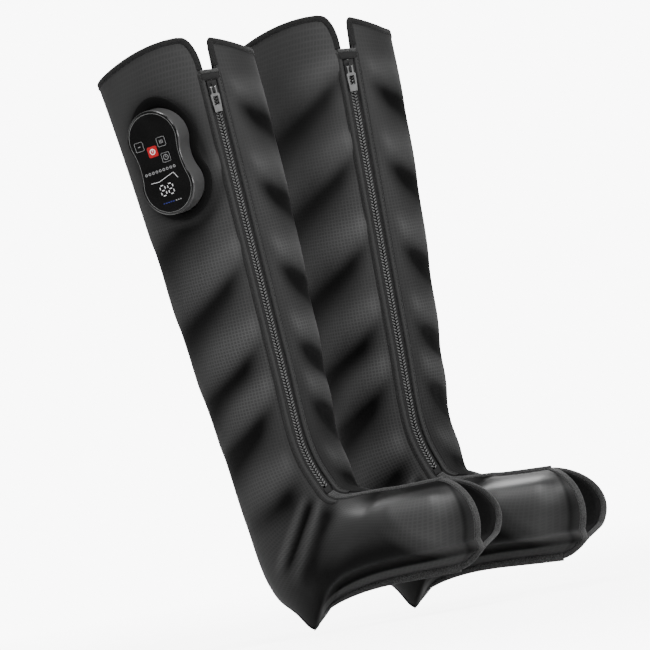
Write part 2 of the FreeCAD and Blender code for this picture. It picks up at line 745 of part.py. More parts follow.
def zip_slider():
    """Slider body: a plate over and under the teeth, joined by a post between them, with a bail on top."""
    low = SLIDER_MIDDLE - SLIDER_LENGTH / 2.0
    high = SLIDER_MIDDLE + SLIDER_LENGTH / 2.0
    top_foot = -TEETH_DEPTH + TEETH_HALF_T + SLIDER_CLEAR
    top_head = top_foot + SLIDER_PLATE_T
    under_head = -TEETH_DEPTH - TEETH_HALF_T - SLIDER_CLEAR
    under_foot = under_head - SLIDER_PLATE_T
    half = SLIDER_HALF_W
    body = block((-half, low, top_foot), (half, high, top_head))
    body = body.fuse(block((-half, low, under_foot), (half, high, under_head)))
    post_low = (-SLIDER_POST_HALF_W, high - SLIDER_POST_LENGTH, under_foot)
    post_high = (SLIDER_POST_HALF_W, high, top_head)
    body = body.fuse(block(post_low, post_high))
    bail_low = SLIDER_MIDDLE - BAIL_LENGTH / 2.0
    bail_high = SLIDER_MIDDLE + BAIL_LENGTH / 2.0
    bail_top = top_head + BAIL_ROOM + BAIL_T
    bail = block((-BAIL_HALF_W, bail_low, top_head), (BAIL_HALF_W, bail_high, bail_top))
    window = block(
        (-2.0 * BAIL_HALF_W, bail_low + BAIL_LEG, top_head),
        (2.0 * BAIL_HALF_W, bail_high - BAIL_LEG, top_head + BAIL_ROOM),
    )
    body = body.fuse(bail.cut(window)).removeSplitter()
    body.Placement = frame_placement(ZIP_FRAME)
    return body


def zip_puller():
    """Puller that hangs from the slider's bail: a pin, two arms, a window and a solid end."""
    pivot = SLIDER_MIDDLE
    foot = pivot - PULLER_LENGTH
    neck = pivot - PULLER_EYE
    low = PULLER_AXIS_OUT - PULLER_T / 2.0
    high = PULLER_AXIS_OUT + PULLER_T / 2.0
    arm = PULLER_ARM_IN + PULLER_T
    outline = (
        (-arm, pivot), (-arm, neck), (-PULLER_HALF_W, neck - PULLER_T), (-PULLER_END_HALF_W, foot),
        (PULLER_END_HALF_W, foot), (PULLER_HALF_W, neck - PULLER_T), (arm, neck), (arm, pivot),
    )
    plate = prism(outline, low, high)
    eye = block((-PULLER_ARM_IN, neck, low), (PULLER_ARM_IN, pivot, high))
    window_top = neck - PULLER_BAR
    window = block(
        (-PULLER_WINDOW_HALF_W, window_top - PULLER_WINDOW_LENGTH, low),
        (PULLER_WINDOW_HALF_W, window_top, high),
    )
    pin = Part.makeCylinder(PULLER_PIN_R, 2.0 * arm, Vec(-arm, pivot, PULLER_AXIS_OUT), Vec(1.0, 0.0, 0.0))
    puller = plate.cut(eye).cut(window).fuse(pin).removeSplitter()
    puller.Placement = frame_placement(ZIP_FRAME)
    return puller


PORT_FRAME = skin_frame(shaft_row(PORT_Z), shaft_row(PORT_Z - PORT_HEIGHT), math.radians(PORT_TURN), 0.0)


def hose_port():
    """Round hose socket seated on the panel away from the zip."""
    body = Part.makeCylinder(PORT_R, PORT_HEIGHT - PORT_SEAT, Vec(0.0, 0.0, PORT_SEAT))
    bore = Part.makeCylinder(PORT_BORE_R, PORT_BORE_DEPTH, Vec(0.0, 0.0, PORT_HEIGHT - PORT_BORE_DEPTH))
    body = body.cut(bore)
    body.Placement = frame_placement(PORT_FRAME)
    return body


def control_collar():
    """Soft collar on the panel round the control unit."""
    middle = math.radians(CONTROL_TURN)
    heights = spread(CONTROL_Z + COLLAR_REACH_Z, CONTROL_Z - COLLAR_REACH_Z, 5)
    rows = [shaft_row(height) for height in heights]
    turns = [spread(middle - COLLAR_REACH, middle + COLLAR_REACH, NEAR_POINTS) for row in rows]
    layer = sheet(rows, turns, -BINDING_GAP - COLLAR_T, -BINDING_GAP)
    ring = waisted_block(-CUTOUT_CLEAR - COLLAR_W, 2.0 * TRAY_FOOT, HOUSING_TOP)
    ring = ring.cut(waisted_block(-CUTOUT_CLEAR, 2.0 * TRAY_FOOT, HOUSING_TOP))
    ring.Placement = frame_placement(CONTROL_FRAME)
    return layer.common(ring)


FASCIA_FOOT = HOUSING_TOP - FASCIA_T
WALL_FOOT = FASCIA_FOOT - FRONT_WALL
BOARD_TOP = BOARD_Z + BOARD_T
TRAY_FLOOR = TRAY_FOOT + CASE_WALL
KEY_FOOT = WALL_FOOT - KEY_UNDER_CLEAR - KEY_FLANGE_T


def key_block(place, grow, low, high):
    """Round-cornered square block for a key or its opening."""
    half = KEY_HALF + grow
    key = block((place[0] - half, place[1] - half, low), (place[0] + half, place[1] + half, high))
    corners = [edge for edge in key.Edges if abs(edge.Vertexes[0].Z - edge.Vertexes[1].Z) > SCREW_CLEAR]
    return key.makeFillet(KEY_CORNER_R, corners)


def display_block(grow, low, high):
    """Block for the display or its window."""
    half_w = DISPLAY_W / 2.0 + grow
    half_h = DISPLAY_H / 2.0 + grow
    return block((-half_w, DISPLAY_Y - half_h, low), (half_w, DISPLAY_Y + half_h, high))


def socket_block(grow, inner_y, outer_y):
    """Block for the charging socket or its opening, in the lower end of the unit."""
    half_w = SOCKET_HALF_W + grow
    half_h = SOCKET_HALF_H + grow
    return block((-half_w, outer_y, SOCKET_Z - half_h), (half_w, inner_y, SOCKET_Z + half_h))


SOCKET_MOUTH_Y = -(END_SPACING / 2.0 + END_R) + CASE_WALL / 2.0
SOCKET_BACK_Y = SOCKET_MOUTH_Y + SOCKET_DEPTH


def control_housing():
    """Front shell of the control unit, with its screw posts and the openings for keys and display."""
    body = waisted_block(0.0, HOUSING_FOOT, HOUSING_TOP)
    rim_edges = [edge for edge in body.Edges if abs(edge.CenterOfMass.z - HOUSING_TOP) < SCREW_CLEAR]
    body = body.makeFillet(HOUSING_EDGE_R, rim_edges)
    body = body.cut(waisted_block(CASE_WALL, HOUSING_FOOT, WALL_FOOT))
    body = body.cut(waisted_block(FASCIA_INSET, FASCIA_FOOT, HOUSING_TOP, FASCIA_DRAW))
    for place in SCREW_PLACES:
        post_foot = TRAY_FLOOR + REST_CLEAR
        post = Part.makeCylinder(BOSS_R, WALL_FOOT - post_foot, Vec(place[0], place[1], post_foot))
        hole = Part.makeCylinder(SCREW_R + SCREW_CLEAR, SCREW_LENGTH, Vec(place[0], place[1], TRAY_FLOOR))
        body = body.fuse(post).cut(hole)
    for place in KEY_PLACES.values():
        body = body.cut(key_block(place, KEY_CLEAR, WALL_FOOT, HOUSING_TOP))
    body = body.cut(display_block(DISPLAY_CLEAR, WALL_FOOT, HOUSING_TOP))
    return body.cut(socket_block(SOCKET_CLEAR, SOCKET_BACK_Y, SOCKET_MOUTH_Y - CASE_WALL))


def control_tray():
    """Rear shell that closes the control unit inside the boot."""
    body = waisted_block(0.0, TRAY_FOOT, HOUSING_FOOT)
    body = body.cut(waisted_block(CASE_WALL, TRAY_FLOOR, HOUSING_FOOT))
    for place in SCREW_PLACES:
        foot = Vec(place[0], place[1], TRAY_FOOT)
        hole = Part.makeCylinder(SCREW_R + SCREW_CLEAR, CASE_WALL, foot)
        head = Part.makeCylinder(SCREW_HEAD_R + SCREW_CLEAR, SCREW_HEAD_T, foot)
        body = body.cut(hole).cut(head)
    return body


def control_screws():
    """Screws that hold the rear shell to the posts."""
    screws = []
    for place in SCREW_PLACES:
        head = Part.makeCylinder(SCREW_HEAD_R, SCREW_HEAD_T, Vec(place[0], place[1], TRAY_FOOT))
        shank = Part.makeCylinder(SCREW_R, SCREW_LENGTH, Vec(place[0], place[1], TRAY_FOOT))
        screws.append(head.fuse(shank))
    return Part.Compound(screws)


def control_fascia():
    """Glossy front plate with an opening for each key."""
    plate = waisted_block(FASCIA_INSET + FASCIA_CLEAR, FASCIA_FOOT, HOUSING_TOP, FASCIA_DRAW)
    for place in KEY_PLACES.values():
        plate = plate.cut(key_block(place, KEY_CLEAR, FASCIA_FOOT, HOUSING_TOP))
    return plate


def control_key(place):
    """Key cap with the flange that keeps it in."""
    cap = key_block(place, 0.0, KEY_FOOT, HOUSING_TOP + KEY_PROUD)
    return cap.fuse(key_block(place, KEY_FLANGE, KEY_FOOT, KEY_FOOT + KEY_FLANGE_T)).removeSplitter()


def key_switches():
    """Switches on the board under the keys."""
    height = KEY_FOOT - KEY_TRAVEL - SWITCH_CLEAR - BOARD_TOP
    feet = [Vec(place[0], place[1], BOARD_TOP) for place in KEY_PLACES.values()]
    return Part.Compound([Part.makeCylinder(SWITCH_R, height, foot) for foot in feet])


def circuit_board():
    """Board behind the front wall, held round the screw posts."""
    board = waisted_block(CASE_WALL + BOARD_INSET, BOARD_Z, BOARD_TOP)
    for place in SCREW_PLACES:
        board = board.cut(Part.makeCylinder(BOSS_R + REST_CLEAR, BOARD_T, Vec(place[0], place[1], BOARD_Z)))
    return board


def display_module():
    """Two-digit display on the board, in its window."""
    return display_block(0.0, BOARD_TOP, FASCIA_FOOT - REST_CLEAR)


def battery():
    """Flat rechargeable cell in the upper end, on the rear shell's floor."""
    low = TRAY_FLOOR + REST_CLEAR
    half_w = BATTERY_W / 2.0
    half_h = BATTERY_H / 2.0
    cell = block((-half_w, BATTERY_Y - half_h, low), (half_w, BATTERY_Y + half_h, low + BATTERY_T))
    return cell.makeFillet(BATTERY_T / 4.0, cell.Edges)


PUMP_MIDDLE_Z = TRAY_FLOOR + REST_CLEAR + PUMP_SIDE / 2.0
PUMP_HEAD_Y = PUMP_Y - PUMP_LENGTH / 2.0
PUMP_TOP_Y = PUMP_Y + PUMP_LENGTH / 2.0


def air_pump():
    """Diaphragm pump head at the lower end."""
    half = PUMP_SIDE / 2.0
    low = (MOTOR_X - half, PUMP_HEAD_Y, PUMP_MIDDLE_Z - half)
    high = (MOTOR_X + half, PUMP_TOP_Y, PUMP_MIDDLE_Z + half)
    return block(low, high)


def pump_motor():
    """Small motor on the pump head."""
    start = Vec(MOTOR_X, PUMP_TOP_Y + REST_CLEAR, PUMP_MIDDLE_Z)
    return Part.makeCylinder(MOTOR_R, MOTOR_LENGTH, start, Vec(0.0, 1.0, 0.0))


def valve_block():
    """Block of air valves beside the pump."""
    foot = TRAY_FLOOR + REST_CLEAR
    low = (VALVE_X - VALVE_W / 2.0, VALVE_Y - VALVE_H / 2.0, foot)
    high = (VALVE_X + VALVE_W / 2.0, VALVE_Y + VALVE_H / 2.0, foot + VALVE_T)
    return block(low, high)


def charge_socket():
    """Charging socket in the lower end of the unit."""
    body = socket_block(0.0, SOCKET_BACK_Y, SOCKET_MOUTH_Y)
    return body.cut(socket_block(-SOCKET_WALL, SOCKET_BACK_Y - CASE_WALL, SOCKET_MOUTH_Y))


def boot_pieces(with_control):
    """All sewn pieces of one boot, by name, in the boot's own frame."""
    return {
        "outer_panel": outer_panel(with_control),
        "inner_panel": inner_panel(),
        "lining": lining(),
        "upper_calf_bladder": calf_bladder(*UPPER_CALF_CELL),
        "lower_calf_bladder": calf_bladder(*LOWER_CALF_CELL),
        "ankle_bladder": foot_bladder(*ANKLE_CELL_ROWS),
        "foot_bladder": foot_bladder(*FOOT_CELL_ROWS),
        "rim_binding": rim_binding(),
        "toe_binding": toe_binding(),
        "sole_binding": sole_binding(),
        "instep_binding": instep_binding(),
        "zip_tape_rear": zip_tape(-1.0),
        "zip_tape_front": zip_tape(1.0),
        "zip_teeth_rear": zip_teeth(-1.0),
        "zip_teeth_front": zip_teeth(1.0),
        "zip_bottom_stop": zip_bottom_stop(),
        "notch_tab": notch_tab(),
        "zip_slider": zip_slider(),
        "zip_puller": zip_puller(),
        "hose_port": hose_port(),
    }


def control_pieces():
    """All pieces of the control unit, by name, in the unit's own frame."""
    pieces = {
        "control_housing": control_housing(),
        "control_tray": control_tray(),
        "control_screws": control_screws(),
        "control_fascia": control_fascia(),
        "key_switches": key_switches(),
        "circuit_board": circuit_board(),
        "display_module": display_module(),
        "battery": battery(),
        "air_pump": air_pump(),
        "pump_motor": pump_motor(),
        "valve_block": valve_block(),
        "charge_socket": charge_socket(),
    }
    for name, place in KEY_PLACES.items():
        pieces[name] = control_key(place)
    return pieces


def boot_placement(lean, heel):
    """Placement of a boot by its lean and the place of its heel tip."""
    return FreeCAD.Placement(heel, FreeCAD.Rotation(Vec(0.0, 1.0, 0.0), lean))


FIRST_TURN = FreeCAD.Rotation(Vec(0.0, 1.0, 0.0), FIRST_LEAN)
FIRST_HEEL = FIRST_TURN.multVec(Vec(FOOT_BED_X, 0.0, FOOT_BED_Z)).negative()
FIRST_PLACE = boot_placement(FIRST_LEAN, FIRST_HEEL)
SECOND_PLACE = boot_placement(SECOND_LEAN, FIRST_HEEL.add(Vec(SECOND_STEP_X, SECOND_STEP_Y, 0.0)))


def export(name, shape, placement):
    """Write one piece, moved to its place in the pair."""
    piece = shape.copy()
    piece.Placement = placement.multiply(piece.Placement)
    piece.exportStep("parts/" + name + ".step")


def report_joint(name, placement, frame, across, along, out):
    """Print a joint's place and the axes of its frame, in millimetres."""
    place = placement.multVec(offset_point(frame, across, along, out))
    axes = [placement.Rotation.multVec(axis) for axis in (frame.across, frame.along, frame.out)]
    numbers = [[round(value, 5) for value in (vector.x, vector.y, vector.z)] for vector in [place] + axes]
    print(name, "place", numbers[0], "across", numbers[1], "along", numbers[2], "out", numbers[3])


def main():
    os.makedirs("parts", exist_ok=True)
    boots = (("first_", FIRST_PLACE, True), ("second_", SECOND_PLACE, False))
    for prefix, placement, with_control in boots:
        for name, shape in boot_pieces(with_control).items():
            export(prefix + name, shape, placement)
        report_joint(prefix + "zip", placement, ZIP_FRAME, 0.0, SLIDER_MIDDLE, PULLER_AXIS_OUT)
        report_joint(prefix + "port", placement, PORT_FRAME, 0.0, 0.0, PORT_HEIGHT)
    export("control_collar", control_collar(), FIRST_PLACE)
    control_place = FIRST_PLACE.multiply(frame_placement(CONTROL_FRAME))
    for name, shape in control_pieces().items():
        export(name, shape, control_place)
    report_joint("control", FIRST_PLACE, CONTROL_FRAME, 0.0, 0.0, 0.0)


main()
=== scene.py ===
"""Looks of a pair of zip-up air compression boots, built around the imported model.

Boot shapes are worked out in millimetres in each boot's own frame (X towards the toe, Y away from the zip
side, Z up, heel tip at the origin), then placed in the shared frame in metres.
"""
import math

import bpy
import numpy as np
from mathutils import Matrix, Vector


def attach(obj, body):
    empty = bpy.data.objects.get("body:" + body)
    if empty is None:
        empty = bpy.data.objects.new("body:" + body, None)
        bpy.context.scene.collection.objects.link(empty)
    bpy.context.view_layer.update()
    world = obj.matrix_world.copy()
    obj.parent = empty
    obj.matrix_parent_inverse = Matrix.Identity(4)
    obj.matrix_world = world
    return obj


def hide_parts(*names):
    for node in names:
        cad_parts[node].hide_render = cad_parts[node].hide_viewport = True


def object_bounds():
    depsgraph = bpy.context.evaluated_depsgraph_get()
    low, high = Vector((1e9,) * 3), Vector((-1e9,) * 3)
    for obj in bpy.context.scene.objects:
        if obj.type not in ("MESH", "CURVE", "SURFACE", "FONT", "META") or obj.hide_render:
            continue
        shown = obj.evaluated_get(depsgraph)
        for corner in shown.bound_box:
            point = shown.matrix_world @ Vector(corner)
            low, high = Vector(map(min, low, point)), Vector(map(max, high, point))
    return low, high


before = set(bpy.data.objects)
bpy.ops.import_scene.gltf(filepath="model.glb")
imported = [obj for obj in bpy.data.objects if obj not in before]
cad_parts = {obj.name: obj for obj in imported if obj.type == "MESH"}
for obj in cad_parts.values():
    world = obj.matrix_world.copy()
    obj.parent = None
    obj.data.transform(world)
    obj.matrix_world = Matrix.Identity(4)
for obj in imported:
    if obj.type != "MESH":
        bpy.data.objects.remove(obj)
cad_low, cad_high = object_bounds()

MM = 0.001
TINY = 1e-9

# Shaft of the boot
RIM_Z = 579.0
RIM_RISE = 25.0
RIM_SKEW = 0.7
RIM_DIP = 16.0
BACK_CORNER = 11.0
ANKLE_Z = 190.0
MOUTH_HALF_DEPTH = 80.5
MOUTH_HALF_WIDTH = 68.0
MOUTH_CENTRE_X = -2.5
ANKLE_HALF_DEPTH = 60.0
ANKLE_HALF_WIDTH = 51.0
ANKLE_CENTRE_X = 10.8
CALF_SWELL = 2.5
CALF_SHIFT = 2.5
OVAL_PINCH = 0.5
SHAFT_ROW_HEIGHTS = (540.0, 480.0, 420.0, 360.0, 300.0, 245.0, ANKLE_Z)

# Foot of the boot
TOE_HALF_WIDTH = 38.0
TOE_BULGE = 41.0
TOE_ROUND = 0.65

# Ankle and foot sections: front x, front z, back x, back z, share of the way from ankle width to toe
# width, pinch of the front and of the back edge, turn of the zip or instep edge in degrees, toe share
FOOT_SECTIONS = (
    (71.5, 165.0, -46.0, 150.0, 0.11, 0.50, 0.50, 51.7, 0.0),
    (75.0, 142.0, -41.0, 95.0, 0.23, 0.50, 0.50, 45.6, 0.0),
    (82.0, 129.0, -36.0, 55.0, 0.31, 0.50, 0.52, 36.9, 0.0),
    (90.0, 122.5, -27.0, 33.0, 0.38, 0.52, 0.60, 20.0, 0.0),
    (97.0, 119.5, -13.0, 16.0, 0.46, 0.55, 0.75, 10.0, 0.0),
    (103.0, 118.0, 0.0, 0.0, 0.54, 0.60, 0.85, 4.0, 0.0),
    (108.0, 117.2, 12.0, 11.0, 0.58, 0.62, 0.80, 0.0, 0.0),
    (114.0, 116.5, 26.0, 19.0, 0.62, 0.65, 0.75, 0.0, 0.0),
    (122.0, 116.0, 48.0, 24.0, 0.69, 0.68, 0.70, 0.0, 0.0),
    (134.0, 115.5, 82.0, 26.5, 0.77, 0.70, 0.70, 0.0, 0.0),
    (150.0, 115.0, 122.0, 25.0, 0.88, 0.70, 0.70, 0.0, 0.3),
    (167.0, 114.5, 163.0, 23.0, 1.00, 0.70, 0.70, 0.0, 1.0),
)
HEEL_TIP_ROW = 5
INSTEP_ROW = 2

# Zip line and the edges beside it
ZIP_TOP_X = 48.3
ZIP_TOP_Z = 563.0
ZIP_BEND_X = 45.7
ZIP_GAP = 6.0
SEAM_GAP = 0.25

# Notch in the rim over the zip
NOTCH_FOOT_Z = 567.0
NOTCH_CORNER_W = 16.0
NOTCH_CORNER_H = 36.0
FLAP_CORNER = 7.0

# Control unit's place
CONTROL_Z = 488.0
CONTROL_TURN = math.radians(101.1)
CONTROL_TILT = math.radians(3.0)
CONTROL_TOP = 20.0
KEY_TOP = 20.3

# Places of the two boots
FOOT_BED_X = 45.0
FOOT_BED_Z = 38.0
FIRST_LEAN = math.radians(-3.35)
SECOND_LEAN = math.radians(0.55)
SECOND_STEP = (56.0, 160.0, 0.0)

# Mesh fineness, in points along and across a panel
PANEL_ROWS = 270
NEAR_COLUMNS = 74
FAR_COLUMNS = 122
TURN_STEP = 0.02


def mix(low, high, share):
    """Value a share of the way from low to high."""
    return low + (high - low) * share


def smooth(low, high, value):
    """Smooth step from 0 at low to 1 at high."""
    share = np.clip((value - low) / (high - low), 0.0, 1.0)
    return share * share * (3.0 - 2.0 * share)


def bell(value, middle, width):
    """Bell curve of height 1 round a middle."""
    return np.exp(-((value - middle) / width) ** 2)


def shaft_oval(height):
    """Half depth of the shaft at a height, its middle, and the turn at which the zip lies."""
    share = (height - ANKLE_Z) / (RIM_Z - ANKLE_Z)
    half_depth = mix(ANKLE_HALF_DEPTH, MOUTH_HALF_DEPTH, share) + CALF_SWELL * math.sin(math.pi * share)
    centre = mix(ANKLE_CENTRE_X, MOUTH_CENTRE_X, share) + CALF_SHIFT * math.sin(math.pi * share * share)
    zip_x = mix(ZIP_BEND_X, ZIP_TOP_X, (height - ANKLE_Z) / (ZIP_TOP_Z - ANKLE_Z))
    return half_depth, centre, math.acos((zip_x - centre) / half_depth)


# Sideways reach of the zip at the ankle and at the mouth; straight in between
ANKLE_ZIP_Y = ANKLE_HALF_WIDTH * math.sin(shaft_oval(ANKLE_Z)[2])
MOUTH_ZIP_Y = MOUTH_HALF_WIDTH * math.sin(shaft_oval(RIM_Z)[2])


def shaft_half_width(height):
    """Half width of the shaft's oval at a height."""
    zip_y = mix(ANKLE_ZIP_Y, MOUTH_ZIP_Y, (height - ANKLE_Z) / (RIM_Z - ANKLE_Z))
    return zip_y / math.sin(shaft_oval(height)[2])


def oval_point(height, turn):
    """Point of the shaft's outer face at a height and turn."""
    half_depth, centre, _ = shaft_oval(height)
    aside = -shaft_half_width(height) * math.sin(turn)
    return np.array((centre + half_depth * math.cos(turn), aside, height))


def oval_across(height, turn):
    """Way across the shaft's outer face towards its front at a height and turn."""
    return oval_point(height, turn - TURN_STEP) - oval_point(height, turn + TURN_STEP)


def shaft_row(height, rim=0.0):
    """Numbers of the oval section at a height of the shaft."""
    half_depth, centre, zip_turn = shaft_oval(height)
    front, back = centre + half_depth, centre - half_depth
    half_width = shaft_half_width(height)
    return (front, height, back, height, half_width, OVAL_PINCH, OVAL_PINCH, zip_turn, rim, 0.0)


def foot_row(entry):
    """Numbers of an ankle or foot section from one line of the table."""
    half_width = mix(ANKLE_HALF_WIDTH, TOE_HALF_WIDTH, entry[4])
    return entry[:4] + (half_width,) + entry[5:7] + (math.radians(entry[7]), 0.0, entry[8])


ROWS = np.array(
    [shaft_row(RIM_Z, 1.0)]
    + [shaft_row(height) for height in SHAFT_ROW_HEIGHTS]
    + [foot_row(entry) for entry in FOOT_SECTIONS]
)
FIRST_FOOT_ROW = 1 + len(SHAFT_ROW_HEIGHTS)
ZIP_TURN_FIELD = 7


def seam_stations():
    """Stations of the sections, by the mean step along the front and back seams."""
    front = np.hypot(*np.diff(ROWS[:, 0:2], axis=0).T)
    back = np.hypot(*np.diff(ROWS[:, 2:4], axis=0).T)
    return np.concatenate([[0.0], np.cumsum((front + back) / 2.0)])


def spline_bends(stations, values):
    """Second derivatives of the natural cubic spline through values at stations."""
    count = len(stations)
    steps = np.diff(stations)
    system = np.eye(count)
    right = np.zeros_like(values)
    for place in range(1, count - 1):
        before, after = steps[place - 1], steps[place]
        system[place, place - 1:place + 2] = (before, 2.0 * (before + after), after)
        rise = (values[place + 1] - values[place]) / after - (values[place] - values[place - 1]) / before
        right[place] = 6.0 * rise
    return np.linalg.solve(system, right)


STATIONS = seam_stations()
BENDS = spline_bends(STATIONS, ROWS)
TOE_STATION = STATIONS[-1]
ZIP_FOOT_ROW = FIRST_FOOT_ROW + INSTEP_ROW
ZIP_FOOT_STATION = STATIONS[ZIP_FOOT_ROW]
TEETH_FOOT_STATION = STATIONS[ZIP_FOOT_ROW - 1]
HEEL_ROW = FIRST_FOOT_ROW + HEEL_TIP_ROW
HEEL_STATION = STATIONS[HEEL_ROW]
GAPS = np.array([ZIP_GAP] * ZIP_FOOT_ROW + [ZIP_GAP / 2.0] + [SEAM_GAP] * (len(ROWS) - ZIP_FOOT_ROW - 1))
TOP_STATIONS = np.linspace(0.0, 60.0, 241)


def rows_at(stations):
    """Section numbers at any stations, along smooth splines."""
    place = np.clip(np.searchsorted(STATIONS, stations, side="right") - 1, 0, len(STATIONS) - 2)
    step = STATIONS[place + 1] - STATIONS[place]
    high = (stations - STATIONS[place]) / step
    low = 1.0 - high
    bend = (low ** 3 - low)[..., None] * BENDS[place] + (high ** 3 - high)[..., None] * BENDS[place + 1]
    line = low[..., None] * ROWS[place] + high[..., None] * ROWS[place + 1]
    return line + bend * (step ** 2 / 6.0)[..., None]


# Pinched flange along the sole, by share of the way from instep to sole
FLANGE_Y = 0.05
FLANGE_SOLE = (0.70, 0.86)


def foot_share(stations):
    """How far a station belongs to the foot rather than the ankle, from 0 to 1."""
    return smooth(ZIP_FOOT_STATION, HEEL_STATION, stations)


def flange_share(stations):
    """How far the flange along the sole has formed at a station, from 0 to 1."""
    return smooth(HEEL_STATION, STATIONS[HEEL_ROW + 2], stations)


def skin(stations, turns, depth=0.0):
    """Points a depth under the boot's outer face. The turn runs from the front seam at 0 over the zip side
    to the back seam at half a turn, and on round the other side."""
    stations = np.asarray(stations, float)
    fields = np.moveaxis(rows_at(stations), -1, 0)
    front_x, front_z, back_x, back_z, half_width, front_pinch, back_pinch, _, rim, toe = fields
    span_x = back_x - front_x
    span_z = back_z - front_z
    length = np.hypot(span_x, span_z)
    share = np.clip((1.0 - np.cos(turns)) / 2.0, 0.0, 1.0)
    along = (depth + share * (length - 2.0 * depth)) / length
    peak = front_pinch / (front_pinch + back_pinch)
    swell = (share / peak) ** front_pinch * ((1.0 - share) / (1.0 - peak)) ** back_pinch
    side = np.where(np.sin(turns) >= 0.0, -1.0, 1.0)
    x = front_x + span_x * along + toe * TOE_BULGE * (4.0 * share * (1.0 - share)) ** TOE_ROUND
    climb = np.where(side < 0.0, RIM_RISE, -RIM_DIP)
    z = front_z + span_z * along + rim * climb * np.sin(np.pi * share ** RIM_SKEW)
    y = side * (half_width - depth) * swell
    sole = smooth(*FLANGE_SOLE, share)
    y *= 1.0 - (1.0 - FLANGE_Y) * flange_share(stations) * sole
    return np.stack([x, y, z], axis=-1)


def zip_turns(stations):
    """Turn of the zip or instep line at stations."""
    return np.maximum(rows_at(np.asarray(stations, float))[..., ZIP_TURN_FIELD], 0.0)


def turn_beside(stations, turns, distance):
    """Turns that lie a distance along the skin from other turns."""
    ahead = skin(stations, turns + TURN_STEP)
    behind = skin(stations, turns - TURN_STEP)
    return turns + distance * 2.0 * TURN_STEP / np.linalg.norm(ahead - behind, axis=-1)


def zip_station(level):
    """Station at which the zip line has a height."""
    heights = skin(TOP_STATIONS, zip_turns(TOP_STATIONS))[:, 2]
    return np.interp(-level, -heights, TOP_STATIONS)


def leaned(angle):
    """Turn about the sideways axis."""
    cosine, sine = math.cos(angle), math.sin(angle)
    return np.array([[cosine, 0.0, sine], [0.0, 1.0, 0.0], [-sine, 0.0, cosine]])


class Boot:
    """Name and place of one boot of the pair."""

    def __init__(self, name, lean, step):
        self.name = name
        self.turn = leaned(lean)
        self.heel = np.array(step) - leaned(FIRST_LEAN) @ np.array([FOOT_BED_X, 0.0, FOOT_BED_Z])

    def place(self, points):
        """Points of the boot's own frame, in the shared frame in metres."""
        return (np.asarray(points) @ self.turn.T + self.heel) * MM


FIRST = Boot("first", FIRST_LEAN, (0.0, 0.0, 0.0))
SECOND = Boot("second", SECOND_LEAN, SECOND_STEP)
ROOT = "boots"


# Materials: grey levels from 0 to 1, mesh pitch in millimetres, noise scales per metre

MESH_PITCH = 3.4
MESH_SHARPNESS = 3.0
MESH_CONTRAST = 1.5
TAPE_PITCH = 1.7
TAPE_GRAIN = 1500.0
TAPE_GRAIN_STEP = {"From Min": 0.35, "From Max": 0.65}
FABRIC_LIGHT = 0.036
FABRIC_DARK = 0.001
FABRIC_ROUGHNESS = 0.56
FABRIC_POLISH = 0.13
FABRIC_SHEEN = 0.12
FABRIC_SPECULAR = 0.45
# Share of sheen and specular taken away where the cloth carries painted shade
PAINTED_SHADE_DIMS_SHINE = 0.8
MOTTLE_SCALE = 14.0
MOTTLE_GAIN = 0.35
MOTTLE_ROUGHNESS = 0.08
PATCH_SCALE = 9.0
ROUGHNESS_GRAIN = 0.14
BUMP_STEP = 0.0002


def new_material(name):
    """Empty node material with a shader and an output."""
    material = bpy.data.materials.new(name)
    material.use_nodes = True
    tree = material.node_tree
    return material, tree, tree.nodes["Principled BSDF"]


def set_inputs(made, inputs):
    """Values of a node's inputs by name."""
    for name, value in inputs.items():
        made.inputs[name].default_value = value


def node(tree, kind, **inputs):
    """New shader node with some of its inputs set by name."""
    made = tree.nodes.new(kind)
    set_inputs(made, inputs)
    return made


def math_node(tree, operation, first, second=None):
    """Math node on sockets or numbers."""
    made = tree.nodes.new("ShaderNodeMath")
    made.operation = operation
    for place, value in enumerate((first, second)):
        if isinstance(value, (int, float)):
            made.inputs[place].default_value = value
        elif value is not None:
            tree.links.new(value, made.inputs[place])
    return made.outputs[0]


def times(tree, first, second):
    """Product of two sockets or numbers."""
    return math_node(tree, "MULTIPLY", first, second)


def plus(tree, first, second):
    """Sum of two sockets or numbers."""
    return math_node(tree, "ADD", first, second)


def opaque(colour):
    """Colour with full opacity from a grey level or from red, green and blue."""
    return (*colour, 1.0) if isinstance(colour, tuple) else (colour, colour, colour, 1.0)


def attribute(tree, name):
    """Node that reads a named mesh attribute."""
    made = tree.nodes.new("ShaderNodeAttribute")
    made.attribute_name = name
    return made


def ramp(tree, factor, low, high):
    """Colour between two greys or colours by a factor socket."""
    made = tree.nodes.new("ShaderNodeMix")
    made.data_type = "RGBA"
    made.inputs["A"].default_value = opaque(low)
    made.inputs["B"].default_value = opaque(high)
    tree.links.new(factor, made.inputs["Factor"])
    return made.outputs["Result"]


def weave_height(tree, pitch):
    """Height of a square ripstop mesh from the cloth's own coordinates in millimetres."""
    parts = tree.nodes.new("ShaderNodeSeparateXYZ")
    tree.links.new(attribute(tree, "cloth").outputs["Vector"], parts.inputs[0])
    waves = []
    for axis in ("X", "Y"):
        angle = times(tree, parts.outputs[axis], 2.0 * math.pi / pitch)
        lifted = times(tree, plus(tree, math_node(tree, "COSINE", angle), 1.0), 0.5)
        waves.append(math_node(tree, "POWER", lifted, MESH_SHARPNESS))
    return math_node(tree, "MAXIMUM", waves[0], waves[1])


def object_noise(tree, scale, detail=3.0):
    """Noise over the object's own coordinates."""
    coordinates = tree.nodes.new("ShaderNodeTexCoord")
    made = node(tree, "ShaderNodeTexNoise", Scale=scale, Detail=detail)
    tree.links.new(coordinates.outputs["Object"], made.inputs["Vector"])
    return made.outputs["Fac"]


